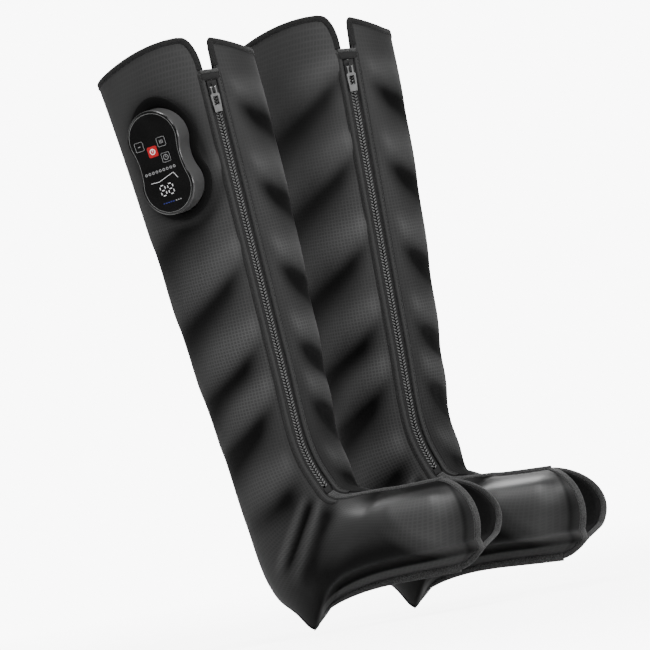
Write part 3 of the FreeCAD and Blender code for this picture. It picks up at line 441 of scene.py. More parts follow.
def add_bump(tree, shader, height, strength, distance):
    """Bump from a height socket."""
    made = node(tree, "ShaderNodeBump", Strength=strength, Distance=distance)
    tree.links.new(height, made.inputs["Height"])
    tree.links.new(made.outputs["Normal"], shader.inputs["Normal"])


def fabric_material():
    """Black coated nylon with a fine mesh, glossier on the foot; its fold attribute paints shade into the
    folds and highlights on the crests, and dims sheen and specular in that painted shade.
    """
    material, tree, shader = new_material("shell_fabric")
    # fold holds the cloth's tone: its base tone with painted shade and painted highlights
    fold = attribute(tree, "fold").outputs["Fac"]
    gloss = attribute(tree, "gloss").outputs["Fac"]
    mottle = object_noise(tree, MOTTLE_SCALE)
    patches = object_noise(tree, PATCH_SCALE, 1.0)
    shows = times(tree, patches, attribute(tree, "weave").outputs["Fac"])
    mesh = times(tree, weave_height(tree, MESH_PITCH), shows)
    clouds = times(tree, mottle, MOTTLE_GAIN)
    gain = plus(tree, plus(tree, times(tree, mesh, MESH_CONTRAST), clouds), 1.0 - MOTTLE_GAIN)
    lighten = tree.nodes.new("ShaderNodeMix")
    lighten.data_type = "RGBA"
    lighten.blend_type = "MULTIPLY"
    lighten.inputs["Factor"].default_value = 1.0
    tree.links.new(ramp(tree, fold, FABRIC_LIGHT, FABRIC_DARK), lighten.inputs["A"])
    tree.links.new(gain, lighten.inputs["B"])
    tree.links.new(lighten.outputs["Result"], shader.inputs["Base Color"])
    rough = math_node(tree, "SUBTRACT", FABRIC_ROUGHNESS, times(tree, gloss, FABRIC_POLISH))
    vary = times(tree, mottle, MOTTLE_ROUGHNESS)
    tree.links.new(plus(tree, rough, vary), shader.inputs["Roughness"])
    # Painted shade also dims the sheen and the specular
    out_of_painted_shade = math_node(tree, "SUBTRACT", 1.0, times(tree, fold, PAINTED_SHADE_DIMS_SHINE))
    tree.links.new(times(tree, out_of_painted_shade, FABRIC_SHEEN), shader.inputs["Sheen Weight"])
    shader.inputs["Sheen Roughness"].default_value = 0.5
    tree.links.new(times(tree, out_of_painted_shade, FABRIC_SPECULAR), shader.inputs["Specular IOR Level"])
    add_bump(tree, shader, mesh, 0.3, 2.0 * BUMP_STEP)
    return material


def tape_material(name, low, high):
    """Rough grosgrain binding."""
    material, tree, shader = new_material(name)
    grain = object_noise(tree, TAPE_GRAIN, 2.0)
    sharp = node(tree, "ShaderNodeMapRange", **TAPE_GRAIN_STEP)
    tree.links.new(grain, sharp.inputs["Value"])
    tree.links.new(ramp(tree, sharp.outputs["Result"], low, high), shader.inputs["Base Color"])
    set_inputs(shader, {"Roughness": 0.82, "Sheen Weight": 0.1, "Specular IOR Level": 0.25})
    height = plus(tree, weave_height(tree, TAPE_PITCH), times(tree, grain, 2.0))
    add_bump(tree, shader, height, 0.6, 2.0 * BUMP_STEP)
    return material


def lining_material():
    """Black brushed knit."""
    material, tree, shader = new_material("lining_fabric")
    grain = object_noise(tree, 500.0, 4.0)
    tree.links.new(ramp(tree, grain, 0.002, 0.010), shader.inputs["Base Color"])
    set_inputs(shader, {"Roughness": 0.92, "Specular IOR Level": 0.15, "Sheen Weight": 0.03})
    add_bump(tree, shader, grain, 0.5, 2.5 * BUMP_STEP)
    return material


def plain_material(name, low, high, roughness, grain_scale, bump, metal=0.0, coat=0.0, specular=0.5):
    """Moulded or painted surface with a little grain and tone variation."""
    material, tree, shader = new_material(name)
    grain = object_noise(tree, grain_scale)
    tree.links.new(ramp(tree, grain, low, high), shader.inputs["Base Color"])
    rough = plus(tree, times(tree, grain, ROUGHNESS_GRAIN), roughness)
    tree.links.new(rough, shader.inputs["Roughness"])
    set_inputs(shader, {"Metallic": metal, "Specular IOR Level": specular})
    set_inputs(shader, {"Coat Weight": coat, "Coat Roughness": 0.06})
    add_bump(tree, shader, grain, bump, BUMP_STEP)
    return material


def painted_glow_material(name, colour, strength):
    """Colour of marks and keys on the fascia, with a faint emission: a painted glow on the printed marks
    and the red key, also given to the display's digits.
    """
    material, tree, shader = new_material(name)
    dim = tuple(0.8 * value for value in colour)
    tree.links.new(ramp(tree, object_noise(tree, 300.0), dim, colour), shader.inputs["Base Color"])
    lit = {"Emission Color": opaque(colour), "Emission Strength": strength}
    set_inputs(shader, {"Roughness": 0.4, **lit})
    return material


FABRIC = fabric_material()
LINING = lining_material()
TAPE = tape_material("binding_tape", 0.014, 0.075)
DARK_TAPE = tape_material("rim_tape", 0.003, 0.012)
ZIP_CLOTH = plain_material("zip_cloth", 0.0015, 0.006, 0.75, 700.0, 0.5)
TEETH = plain_material("zip_teeth", 0.06, 0.14, 0.4, 300.0, 0.1)
PAINTED = plain_material("grey_paint", 0.16, 0.24, 0.3, 260.0, 0.1, metal=0.5)
BLACKENED = plain_material("black_paint", 0.006, 0.016, 0.28, 260.0, 0.1)
CASE = plain_material("satin_case", 0.045, 0.06, 0.24, 900.0, 0.03, coat=0.3)
GLOSS = plain_material("gloss_black", 0.001, 0.002, 0.14, 60.0, 0.0)
COLLAR = plain_material("collar_black", 0.0006, 0.002, 0.6, 500.0, 0.1, specular=0.12)
RIM_LINE = plain_material("fascia_rim", 0.16, 0.24, 0.3, 300.0, 0.0)
MOULDED = plain_material("moulded_black", 0.012, 0.03, 0.5, 400.0, 0.2)
STEEL = plain_material("bare_steel", 0.4, 0.55, 0.28, 200.0, 0.05, metal=1.0)
BOARD = plain_material("board_green", (0.02, 0.12, 0.05), (0.03, 0.18, 0.08), 0.5, 300.0, 0.1)
FILM = plain_material("film_blue", (0.08, 0.18, 0.40), (0.12, 0.25, 0.50), 0.4, 200.0, 0.1)
THREAD = plain_material("thread", 0.002, 0.007, 0.8, 900.0, 0.3)
# The faint emission of the marks and the red key is a painted glow
RED = painted_glow_material("red_key", (0.42, 0.004, 0.008), 0.22)
WHITE = painted_glow_material("white_mark", (0.80, 0.80, 0.81), 0.45)
GREY_MARK = painted_glow_material("grey_mark", (0.28, 0.28, 0.285), 0.16)
BLUE = painted_glow_material("blue_mark", (0.02, 0.03, 0.2), 0.12)


# Mesh helpers

def new_object(name, data):
    """Object in the scene's own collection."""
    made = bpy.data.objects.new(name, data)
    bpy.context.scene.collection.objects.link(made)
    return made


def mesh_object(name, points, faces, material, body=ROOT, slot=None, floats=None, cloth=None,
                is_smooth=True):
    """Mesh piece in the shared frame, riding on a body."""
    mesh = bpy.data.meshes.new(name)
    corners = [tuple(int(index) for index in face) for face in faces]
    mesh.from_pydata([tuple(point) for point in points], [], corners)
    mesh.validate()
    if is_smooth:
        mesh.polygons.foreach_set("use_smooth", [True] * len(mesh.polygons))
    for label, values in (floats or {}).items():
        layer = mesh.attributes.new(label, "FLOAT", "POINT")
        layer.data.foreach_set("value", np.asarray(values, np.float32))
    if cloth is not None:
        layer = mesh.attributes.new("cloth", "FLOAT_VECTOR", "POINT")
        layer.data.foreach_set("vector", np.asarray(cloth, np.float32).ravel())
    mesh.materials.append(material)
    mesh.update()
    made = new_object(name, mesh)
    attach(made, body)
    return made


def grid_faces(rows, columns, start=0, flip=False):
    """Four-sided faces of a grid of points stored row by row."""
    index = start + np.arange(rows * columns).reshape(rows, columns)
    corners = (index[:-1, :-1], index[1:, :-1], index[1:, 1:], index[:-1, 1:])
    faces = np.stack(corners, axis=-1).reshape(-1, 4)
    return faces[:, ::-1] if flip else faces


def border_indices(rows, columns):
    """Indices round the border of a grid, in order."""
    index = np.arange(rows * columns).reshape(rows, columns)
    return np.concatenate([index[0, :-1], index[:-1, -1], index[-1, :0:-1], index[:0:-1, 0]])


def grid_normals(points):
    """Unit normals of a grid of points."""
    down = np.gradient(points, axis=0)
    across = np.gradient(points, axis=1)
    return unit(np.cross(down, across))


def thick_sheet(outer, inner):
    """Points and faces of a closed sheet between two matching grids."""
    rows, columns = outer.shape[:2]
    count = rows * columns
    points = np.concatenate([outer.reshape(-1, 3), inner.reshape(-1, 3)])
    border = border_indices(rows, columns)
    following = np.roll(border, -1)
    edge = np.stack([border, following, following + count, border + count], axis=-1)
    faces = np.concatenate([grid_faces(rows, columns), grid_faces(rows, columns, count, True), edge])
    return points, faces


def swept(sections, closed=False):
    """Points and faces of a tube; sections holds one closed ring of points for each step along it."""
    sections = np.asarray(sections)
    steps, ring = sections.shape[:2]
    index = np.arange(steps * ring).reshape(steps, ring)
    wrapped = np.concatenate([index, index[:, :1]], axis=1)
    if closed:
        wrapped = np.concatenate([wrapped, wrapped[:1]], axis=0)
    sides = np.stack([wrapped[:-1, :-1], wrapped[:-1, 1:], wrapped[1:, 1:], wrapped[1:, :-1]], axis=-1)
    faces = [list(face) for face in sides.reshape(-1, 4)]
    if not closed:
        faces.append(list(index[0][::-1]))
        faces.append(list(index[-1]))
    return sections.reshape(-1, 3), faces


def path_lengths(points):
    """Distances along a path of points from its start."""
    return np.concatenate([[0.0], np.cumsum(np.linalg.norm(np.diff(points, axis=0), axis=-1))])


def ring_of(across, out, count):
    """Points of an ellipse round the origin."""
    angles = np.linspace(0.0, 2.0 * math.pi, count + 1)[:-1]
    return [(across * math.cos(angle), out * math.sin(angle)) for angle in angles]


def unit(vectors):
    """Vectors of length one."""
    return vectors / np.maximum(np.linalg.norm(vectors, axis=-1, keepdims=True), TINY)


# Camera, at the photographed view

VIEW_TURN = math.radians(18.0)
VIEW_ROLL = math.radians(10.65)
VIEW_DISTANCE = 12.0
FRAME_WIDTH = 0.650
HEEL_RIGHT = -9.5
HEEL_UP = -303.5
SENSOR = 36.0


def make_camera():
    """Long lens, so that the picture is nearly flat, rolled as the pair leans in the picture."""
    to_camera = Vector((math.sin(VIEW_TURN), -math.cos(VIEW_TURN), 0.0))
    level = Vector((math.cos(VIEW_TURN), math.sin(VIEW_TURN), 0.0))
    upright = Vector((0.0, 0.0, 1.0))
    right = level * math.cos(VIEW_ROLL) - upright * math.sin(VIEW_ROLL)
    up = level * math.sin(VIEW_ROLL) + upright * math.cos(VIEW_ROLL)
    heel = Vector(FIRST.heel * MM)
    aim = heel - right * HEEL_RIGHT * MM - up * HEEL_UP * MM
    data = bpy.data.cameras.new("camera")
    data.sensor_width = SENSOR
    data.lens = SENSOR * VIEW_DISTANCE / FRAME_WIDTH
    data.clip_end = 100.0
    camera = new_object("camera", data)
    axes = Matrix((right, up, to_camera)).transposed().to_4x4()
    camera.matrix_world = Matrix.Translation(aim + to_camera * VIEW_DISTANCE) @ axes
    bpy.context.scene.camera = camera


make_camera()


# Shell panels

# A pair holds the start and end of a smooth change, in millimetres or as shares of one.
# A pair whose name ends in PLACE holds the middle and width of a bell curve.
PANEL_T = 1.6
WELT_EDGE = 11.0
COLUMN_CROWD = 1.5

# Air cells: heights on the zip at which the valleys between them meet, and how they fall away from it
VALLEY_APEX = (539.0, 458.0, 372.0, 292.0, 232.0, 156.0)
REAR_SLOPE = 0.70
FRONT_SLOPE = 0.55
VALLEY_DEPTH = 5.0
VALLEY_W = 6.0
VALLEY_WIDENS = 0.10
WIDEST_REACH = 110.0
UPPER_FLANK = 0.95
LOWER_FLANK = 2.0
CREST_RISE = 2.6
CREST_AT = 2.5
CREST_W = 1.5

# Where the cells begin and end: by height, by distance from the zip and by distance from the back seam
CELLS_FOOT = (95.0, 140.0)
CELLS_HEAD = (535.0, 575.0)
VALLEY_START = (WELT_EDGE + 5.0, 46.0)
CREST_START = (WELT_EDGE + 4.0, 30.0)
CREST_END = (45.0, 110.0)
SEAM_SHALLOW = 0.35
SEAM_SLOPE = (20.0, 90.0)
SEAM_EDGE = (2.0, 22.0)
FRONT_SHALLOW = 0.12
FRONT_START = (38.0, 80.0)
FRONT_END = (105.0, 140.0)

# Ankle folds in the side view: start and end as level and height, depth and half width
ANKLE_FOLDS = (
    ((19.0, 128.0), (-22.0, 66.0), 2.8, 3.2),
    ((26.0, 124.0), (-15.0, 62.0), -3.8, 3.4),
    ((34.0, 120.0), (-7.0, 52.0), 2.0, 3.4),
    ((42.0, 114.0), (1.0, 40.0), -3.2, 7.5),
)
FOLD_START = (-0.12, 0.15)
FOLD_END = (0.8, 1.12)
FOLD_SIDE = (14.0, 30.0)
# Painted highlight along the ridges between the ankle folds
RIDGE_PAINTED_HIGHLIGHT = 0.7

# Puffed foot, and the places of its painted shade and painted highlights, by share of the way from instep
# to sole and by distance from the toe
FOOT_PUFF = 5.0
FOOT_DISH = 3.0
DISH_PLACE = (0.56, 0.16)
PUFF_START = (STATIONS[HEEL_ROW - 3], STATIONS[HEEL_ROW + 3])
PUFF_SIDE = (0.2, 0.5)
PUFF_TOP = (0.03, 0.20)
PUFF_FOOT = (0.64, 0.82)
TOE_EDGE = (7.0, 26.0)
TOE_FULL = (18.0, 58.0)
TOE_GROOVE_PLACE = (6.5, 1.8)
SHADOW_TOP = (0.30, 0.66)
SHADOW_FOOT = (0.85, 0.87)
SHADOW_EDGE = (0.0, 16.0)
SHADOW_END = 14.0
SHADOW_LEAN = 95.0
SHADOW_CORNER = 0.82
CRESCENT_EDGE = (-2.0, 12.0)
CRESCENT_TOP = (0.12, 0.26)
CRESCENT_FOOT = (0.74, 0.84)
STREAK_PLACE = (0.16, 0.035)
INSTEP_BAND = (0.05, 0.11)
SOLE_BORDER = (0.85, 0.88)
HEEL_SOFT_W = 26.0
HEEL_SOFT_TOP = (0.03, 0.12)
HEEL_SOFT_FOOT = (0.58, 0.82)
HEEL_SOFT_ROUNDS = 80

# Tones of the cloth, from 0 for its lightest to 1 for black: a base tone with painted shade and painted
# highlights laid over it
BASE_TONE = 0.28
# Painted shade on the front flap beside the zip, which faces the light
FRONT_PAINTED_SHADE_TONE = 0.52
# Painted shade: the cloth is darker towards the bottom
LOW_PAINTED_SHADE = 0.34
LOW_SHADE_HEIGHTS = (0.0, 620.0)
FOOT_TONE = 0.56
# Painted shade: the band under the instep tape, the shadow under the pillow and the line inside the toe
# binding; painted highlights: the streak along the pillow's top, the crescent near the toe and the flange
# along the sole
FOOT_PAINTED_SHADE_AND_HIGHLIGHTS = {
    "band": 0.40, "shadow": 0.46, "groove": 0.40, "streak": -0.46, "crescent": -0.36, "border": -0.54,
}
# Painted shade in the valleys between the air cells, weaker on the front side away from the zip
TROUGH_PAINTED_SHADE = 0.55
FAR_TROUGH_PAINTED_SHADE = 0.22
# Painted shade in the ankle fold grooves, with painted highlights on their ridges
FOLD_PAINTED_SHADE_AND_HIGHLIGHT = 0.5
# Painted highlight on the crests of the cells near the zip
CREST_PAINTED_HIGHLIGHT = -0.36
# Painted shade along the groove where the panel meets the zip's welt
GROOVE_PAINTED_SHADE = 0.5
GROOVE_PLACE = (WELT_EDGE + 0.6, 0.8)
FAR_START = (70.0, 125.0)
ANKLE_START = (WELT_EDGE, WELT_EDGE + 12.0)
CONTROL_QUIET = (6.0, 20.0)
# Painted shadow on the cloth round the control unit's collar
CONTROL_SHADE = 0.55
CONTROL_SHADE_START = 8.0
CONTROL_SHADE_W = 6.0
WEAVE_HEIGHTS = (330.0, 520.0)
WEAVE_ABOVE = 0.3
WEAVE_ON_FOOT = 0.35


def panel_turns(stations, columns_u, side):
    """Turns of a panel's columns, from beside the zip to the back seam; side is -1 for the zip side."""
    middle = zip_turns(stations)
    gap = np.interp(stations, STATIONS, GAPS)
    edge = turn_beside(stations, middle, -side * gap)
    if side < 0:
        return edge + columns_u * (math.pi - edge)
    return 2.0 * math.pi + edge - columns_u * (math.pi + edge)


def top_stations(columns_u, side):
    """Stations at which each column starts, so that the rim dips into the notch beside the zip."""
    stations = np.repeat(TOP_STATIONS[:, None], len(columns_u), axis=1)
    points = skin(stations, panel_turns(stations, columns_u, side))
    rim = points[0]
    reach = path_lengths(rim)
    if side < 0:
        foot, width, height = NOTCH_FOOT_Z, NOTCH_CORNER_W, NOTCH_CORNER_H
    else:
        foot, width, height = rim[0, 2] - FLAP_CORNER, FLAP_CORNER, FLAP_CORNER
    share = np.clip(1.0 - reach / width, 0.0, 1.0)
    corner = np.where(reach < width, foot + height * np.sqrt(1.0 - share ** 2), np.inf)
    to_seam = np.clip(1.0 - (reach[-1] - reach) / BACK_CORNER, 0.0, 1.0)
    rounded = rim[:, 2] - BACK_CORNER * (1.0 - np.sqrt(1.0 - to_seam ** 2))
    starts = []
    for column, limit in enumerate(np.minimum(corner, rounded)):
        starts.append(np.interp(-limit, -points[:, column, 2], TOP_STATIONS))
    return np.array(starts)


def cell_relief(points, reach, side, skip_top):
    """Height of the air cells over the plain shape, and how strong their valleys and crests are, which
    also set painted shade in the valleys and painted highlights on the crests.
    """
    height = points[..., 2]
    if side < 0:
        level = points[..., 0] * math.cos(VIEW_TURN) + points[..., 1] * math.sin(VIEW_TURN)
        lowered = height + REAR_SLOPE * (level[:, :1] - level)
    else:
        lowered = height + FRONT_SLOPE * reach
    width = VALLEY_W + VALLEY_WIDENS * np.minimum(reach, WIDEST_REACH)
    shaft = smooth(*CELLS_FOOT, height) * (1.0 - smooth(*CELLS_HEAD, height))
    to_seam = reach[:, -1:] - reach
    depth = mix(SEAM_SHALLOW, 1.0, smooth(*SEAM_SLOPE, to_seam)) * smooth(*SEAM_EDGE, to_seam)
    if side > 0:
        front = smooth(*FRONT_START, reach) * (1.0 - smooth(*FRONT_END, reach))
        depth = depth * mix(1.0, FRONT_SHALLOW, front)
    trough = np.zeros_like(height)
    crest = np.zeros_like(height)
    for apex in VALLEY_APEX[1:] if skip_top else VALLEY_APEX:
        offset = lowered - apex
        flank = np.where(offset > 0.0, UPPER_FLANK, LOWER_FLANK)
        trough = np.maximum(trough, bell(offset, 0.0, flank * width))
        crest = np.maximum(crest, bell(offset, CREST_AT * width, CREST_W * width))
    trough *= shaft * smooth(*VALLEY_START, reach)
    crest *= shaft * smooth(*CREST_START, reach) * (1.0 - smooth(*CREST_END, reach))
    return depth * (CREST_RISE * crest - VALLEY_DEPTH * trough), trough, crest


def fold_relief(points):
    """Pulled folds of the ankle, from the foot of the zip down to the heel, with painted shade in their
    grooves and painted highlights on their ridges.
    """
    level = points[..., 0] * math.cos(VIEW_TURN) - np.abs(points[..., 1]) * math.sin(VIEW_TURN)
    height = points[..., 2]
    rise = np.zeros_like(level)
    dark = np.zeros_like(level)
    for start, end, depth, width in ANKLE_FOLDS:
        along_x, along_z = end[0] - start[0], end[1] - start[1]
        length = math.hypot(along_x, along_z)
        along = ((level - start[0]) * along_x + (height - start[1]) * along_z) / length ** 2
        aside = ((level - start[0]) * along_z - (height - start[1]) * along_x) / length
        ends = smooth(*FOLD_START, along) * (1.0 - smooth(*FOLD_END, along))
        strength = ends * bell(aside, 0.0, width)
        rise += depth * strength
        # Painted shade in the grooves, painted highlight on the ridges
        dark += strength if depth < 0.0 else -RIDGE_PAINTED_HIGHLIGHT * strength
    inside = smooth(*FOLD_SIDE, np.abs(points[..., 1]))
    return rise * inside, dark * inside


def foot_relief(share, stations):
    """Puffed foot with a flat edge along the sole and a shallow dish, and the painted shade and painted
    highlights over its tone.
    """
    foot = foot_share(stations)
    flange = flange_share(stations)
    before_toe = TOE_STATION - stations
    edge = smooth(*TOE_EDGE, before_toe)
    full = smooth(*TOE_FULL, before_toe)
    behind = mix(smooth(*PUFF_START, stations), 1.0, smooth(*PUFF_SIDE, share))
    pillow = smooth(*PUFF_TOP, share) * (1.0 - smooth(*PUFF_FOOT, share)) * edge * behind
    dish = bell(share, *DISH_PLACE) * full
    limit = SHADOW_END + SHADOW_LEAN * np.maximum(SHADOW_CORNER - share, 0.0)
    shadow = smooth(*SHADOW_TOP, share) * (1.0 - flange * smooth(*SHADOW_FOOT, share))
    crescent = smooth(*CRESCENT_TOP, share) * (1.0 - smooth(*CRESCENT_FOOT, share)) * edge
    parts = {
        "band": 1.0 - smooth(*INSTEP_BAND, share),
        "shadow": shadow * smooth(*SHADOW_EDGE, before_toe - limit),
        "groove": bell(before_toe, *TOE_GROOVE_PLACE),
        "streak": bell(share, *STREAK_PLACE) * full,
        "crescent": crescent * smooth(*CRESCENT_EDGE, limit - before_toe),
        "border": flange * smooth(*SOLE_BORDER, share),
    }
    # Painted shade and painted highlights over the foot's base tone
    tone = FOOT_TONE + sum(FOOT_PAINTED_SHADE_AND_HIGHLIGHTS[name] * part for name, part in parts.items())
    return foot * (FOOT_PUFF * pillow - FOOT_DISH * dish), foot * tone


# Control unit's frame on the first boot

END_R = 29.0
END_SPACING = 49.0
WAIST_DRAW = 4.0


def control_axes():
    """Place of the control unit in the boot's own frame, and its axes across, along and out."""
    place = oval_point(CONTROL_Z, CONTROL_TURN)
    across = oval_across(CONTROL_Z, CONTROL_TURN)
    along = place - oval_point(CONTROL_Z - END_R, CONTROL_TURN)
    out = unit(np.cross(across, along))
    along = unit(np.cross(out, across))
    across = np.cross(along, out)
    tilted = across * math.cos(CONTROL_TILT) + along * math.sin(CONTROL_TILT)
    return place, np.stack([tilted, np.cross(out, tilted), out])


CONTROL_PLACE, CONTROL_AXES = control_axes()


def control_points(points):
    """Points of the control unit's own frame, in the shared frame in metres."""
    return FIRST.place(CONTROL_PLACE + np.asarray(points, float) @ CONTROL_AXES)


def control_distance(points):
    """Rough distance of points outside the control unit's outline, along the skin."""
    across, along, _ = np.moveaxis((points - CONTROL_PLACE) @ CONTROL_AXES.T, -1, 0)
    rest = np.maximum(np.abs(along) - END_SPACING / 2.0, 0.0)
    return np.hypot(across, rest) - END_R


def waisted_outline(inset, draw=WAIST_DRAW, count=36):
    """Points round the control unit's outline, set in all round and drawn in at the waist."""
    end_r = END_R - inset
    waist = end_r - draw
    half = END_SPACING / 2.0
    waist_r = (end_r ** 2 - waist ** 2 - half ** 2) / (2.0 * (waist - end_r))
    tilt = math.atan2(half, waist + waist_r)
    points = []
    for turn in np.linspace(-tilt, math.pi + tilt, count):
        points.append((end_r * math.cos(turn), half + end_r * math.sin(turn)))
    for turn in np.linspace(tilt, -tilt, count // 2)[1:-1]:
        points.append((-waist - waist_r + waist_r * math.cos(turn), waist_r * math.sin(turn)))
    return np.array(points + [(-x, -y) for x, y in points])


def panel_grid(side, starts_below=0.0, end_above=0.0):
    """Stations and turns of the grid over one side of the shell."""
    columns = NEAR_COLUMNS if side < 0 else FAR_COLUMNS
    columns_u = np.linspace(0.0, 1.0, columns) ** COLUMN_CROWD
    starts = top_stations(columns_u, side) + starts_below
    rows_v = np.linspace(0.0, 1.0, PANEL_ROWS)[:, None]
    stations = starts + rows_v * (TOE_STATION - end_above - starts)
    return stations, panel_turns(stations, columns_u, side)


def outward_normals(points):
    """Unit normals of a panel's grid that point away from the leg."""
    normals = grid_normals(points)
    facing = np.sum(normals * (points - points.mean(axis=1, keepdims=True)), axis=-1).mean()
    return normals * np.sign(facing)


def softened_heel(points, stations, share):
    """Panel's grid with the crease from the heel tip up to the instep eased out."""
    mask = bell(stations, HEEL_STATION, HEEL_SOFT_W)
    mask *= smooth(*HEEL_SOFT_TOP, share) * (1.0 - smooth(*HEEL_SOFT_FOOT, share))
    weight = 0.5 * mask[1:-1, :, None]
    for _ in range(HEEL_SOFT_ROUNDS):
        points[1:-1] += weight * ((points[:-2] + points[2:]) / 2.0 - points[1:-1])
    return points


def side_sheet(boot, outer, inner, side):
    """Closed sheet of one side of a boot, with its faces turned outward."""
    points, faces = thick_sheet(boot.place(outer), boot.place(inner))
    return points, faces if side < 0 else [face[::-1] for face in faces]


def panel_piece(boot, side, with_control):
    """One side of a boot's shell with the cells, folds and puffed foot modelled in it."""
    stations, turns = panel_grid(side)
    share = (1.0 - np.cos(turns)) / 2.0
    points = softened_heel(skin(stations, turns), stations, share)
    height = points[..., 2]
    steps = np.linalg.norm(np.diff(points, axis=1), axis=-1)
    reach = np.concatenate([np.zeros((PANEL_ROWS, 1)), np.cumsum(steps, axis=1)], axis=1) + ZIP_GAP
    on_control_side = with_control and side < 0
    cells, trough, crest = cell_relief(points, reach, side, on_control_side)
    folds, crease = fold_relief(points)
    puff, foot_tone_and_painted_light = foot_relief(share, stations)
    foot = foot_share(stations)
    ankle = (1.0 - foot) * smooth(*ANKLE_START, reach)
    quiet = 1.0
    shade = 0.0
    if on_control_side:
        away = control_distance(points)
        quiet = smooth(*CONTROL_QUIET, away)
        # Painted shadow round the control unit's collar
        shade = CONTROL_SHADE * np.exp(-np.maximum(away - CONTROL_SHADE_START, 0.0) / CONTROL_SHADE_W)
    normals = outward_normals(points)
    outer = points + normals * ((cells * (1.0 - foot) + folds * ankle + puff) * quiet)[..., None]
    inner = outer - normals * PANEL_T
    far = smooth(*FAR_START, reach) if side > 0 else np.zeros_like(reach)
    # Painted shade makes the front flap beside the zip darker
    base = BASE_TONE if side < 0 else mix(FRONT_PAINTED_SHADE_TONE, BASE_TONE, far)
    # Painted shade darkens the cloth towards the bottom
    plain = base + LOW_PAINTED_SHADE * (1.0 - smooth(*LOW_SHADE_HEIGHTS, height))
    # Painted shade along the groove beside the welt
    plain = plain + GROOVE_PAINTED_SHADE * bell(reach, *GROOVE_PLACE)
    # Painted shade and painted highlights of the valleys, the foot, the ankle folds, the crests and the
    # control unit's surround
    dark = plain * (1.0 - foot) + foot_tone_and_painted_light + mix(TROUGH_PAINTED_SHADE, FAR_TROUGH_PAINTED_SHADE, far) * trough * quiet
    dark += FOLD_PAINTED_SHADE_AND_HIGHLIGHT * crease * ankle + CREST_PAINTED_HIGHLIGHT * crest + shade
    weave = mix(1.0, WEAVE_ABOVE, smooth(*WEAVE_HEIGHTS, height)) * mix(1.0, WEAVE_ON_FOOT, foot)
    cloth = np.stack([reach, stations, np.zeros_like(reach)], axis=-1).reshape(-1, 3)
    # The fold attribute carries this tone with its painted shade and painted highlights
    floats = {"fold": np.clip(dark, 0.0, 1.0), "gloss": foot, "weave": weave}
    label = boot.name + ("_outer_panel" if side < 0 else "_inner_panel")
    made = mesh_object(
        label + "_cloth", *side_sheet(boot, outer, inner, side), FABRIC, slot="shell_fabric",
        floats={name: np.tile(values.ravel(), 2) for name, values in floats.items()},
        cloth=np.concatenate([cloth, cloth]),
    )
    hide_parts(label)
    return {"points": outer, "normals": outward_normals(outer)}


# Lining

LINING_SINK = 9.4
LINING_RIM_SINK = 2.3
LINING_T = 1.0
LINING_RIM_GAP = 2.5
LINING_TOE_GAP = 3.0
LINING_SINKS = (0.0, 50.0)
LINING_RISES = (TOE_STATION - 45.0, TOE_STATION - 4.0)
BLADDERS = ("upper_calf_bladder", "lower_calf_bladder", "ankle_bladder", "foot_bladder")


def lining_piece(boot):
    """Soft lining that faces the leg, drawn out to the rim and the toe edge."""
    parts = []
    for side in (-1.0, 1.0):
        stations, turns = panel_grid(side, LINING_RIM_GAP, LINING_TOE_GAP)
        deep = smooth(*LINING_SINKS, stations) * (1.0 - smooth(*LINING_RISES, stations))
        sink = mix(LINING_RIM_SINK, LINING_SINK, deep)
        outer = skin(stations, turns, sink)
        inner = skin(stations, turns, sink + LINING_T)
        parts.append(side_sheet(boot, outer, inner, side))
    made = mesh_object(boot.name + "_lining_knit", *joined(parts), LINING, slot="lining_fabric")
    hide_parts(boot.name + "_lining", *[boot.name + "_" + cell for cell in BLADDERS])


# Bindings

RING_STEP = 2.0
INSIDE_STEP = 3
BINDING_RING = (
    (0.2, 5.5), (0.6, 5.1), (0.75, 2.5), (0.7, 0.2), (0.3, -0.5), (-0.8, -0.8), (-1.9, -0.5), (-2.2, 0.2),
    (-2.3, 2.5), (-2.2, 5.1), (-1.8, 5.5),
)
SEAM_RING = (
    (1.6, 5.6), (2.3, 4.6), (2.4, 1.0), (2.1, -1.6), (1.0, -2.7), (-1.0, -2.7), (-2.1, -1.6), (-2.4, 1.0),
    (-2.3, 4.6), (-1.6, 5.6),
)
STITCH_LENGTH = 2.4
STITCH_GAP = 1.2
STITCH_R = 0.32
STITCH_SIDES = 5
STITCH_ENDS = ((0.0, 0.5, -0.35), (0.18, 1.0, 0.0), (0.82, 1.0, 0.0), (1.0, 0.5, -0.35))
EDGE_STITCH_IN = 4.3
EDGE_STITCH_LIFT = 0.7
SEAM_STITCH_IN = 4.2
SEAM_STITCH_LIFT = 2.3


def joined(parts):
    """Points and faces of several parts as one."""
    points = []
    faces = []
    start = 0
    for part_points, part_faces in parts:
        points.append(np.asarray(part_points))
        faces.extend([[int(index) + start for index in face] for face in part_faces])
        start += len(part_points)
    return np.concatenate(points), faces


def resampled(step, points, *others):
    """A path's points and what goes with them, at even steps along it."""
    lengths = path_lengths(points)
    count = max(int(lengths[-1] / step), 2)
    places = np.linspace(0.0, lengths[-1], count + 1)
    even = []
    for values in (points,) + others:
        even.append(np.stack([np.interp(places, lengths, values[:, axis]) for axis in range(3)], axis=-1))
    return even


def ring_sweep(points, outward, inward, ring):
    """Closed rings of a tape along a path; the ring gives steps outward and inward."""
    ring = np.asarray(ring)
    steps = outward[:, None, :] * ring[None, :, 0:1] + inward[:, None, :] * ring[None, :, 1:2]
    return points[:, None, :] + steps


def tape_cloth(sections):
    """Cloth coordinates of swept rings in millimetres."""
    steps, ring = sections.shape[:2]
    along = path_lengths(sections[:, 0])
    around = path_lengths(sections[0])
    grid = np.stack(np.meshgrid(along, around, indexing="ij") + [np.zeros((steps, ring))], axis=-1)
    return grid.reshape(-1, 3)


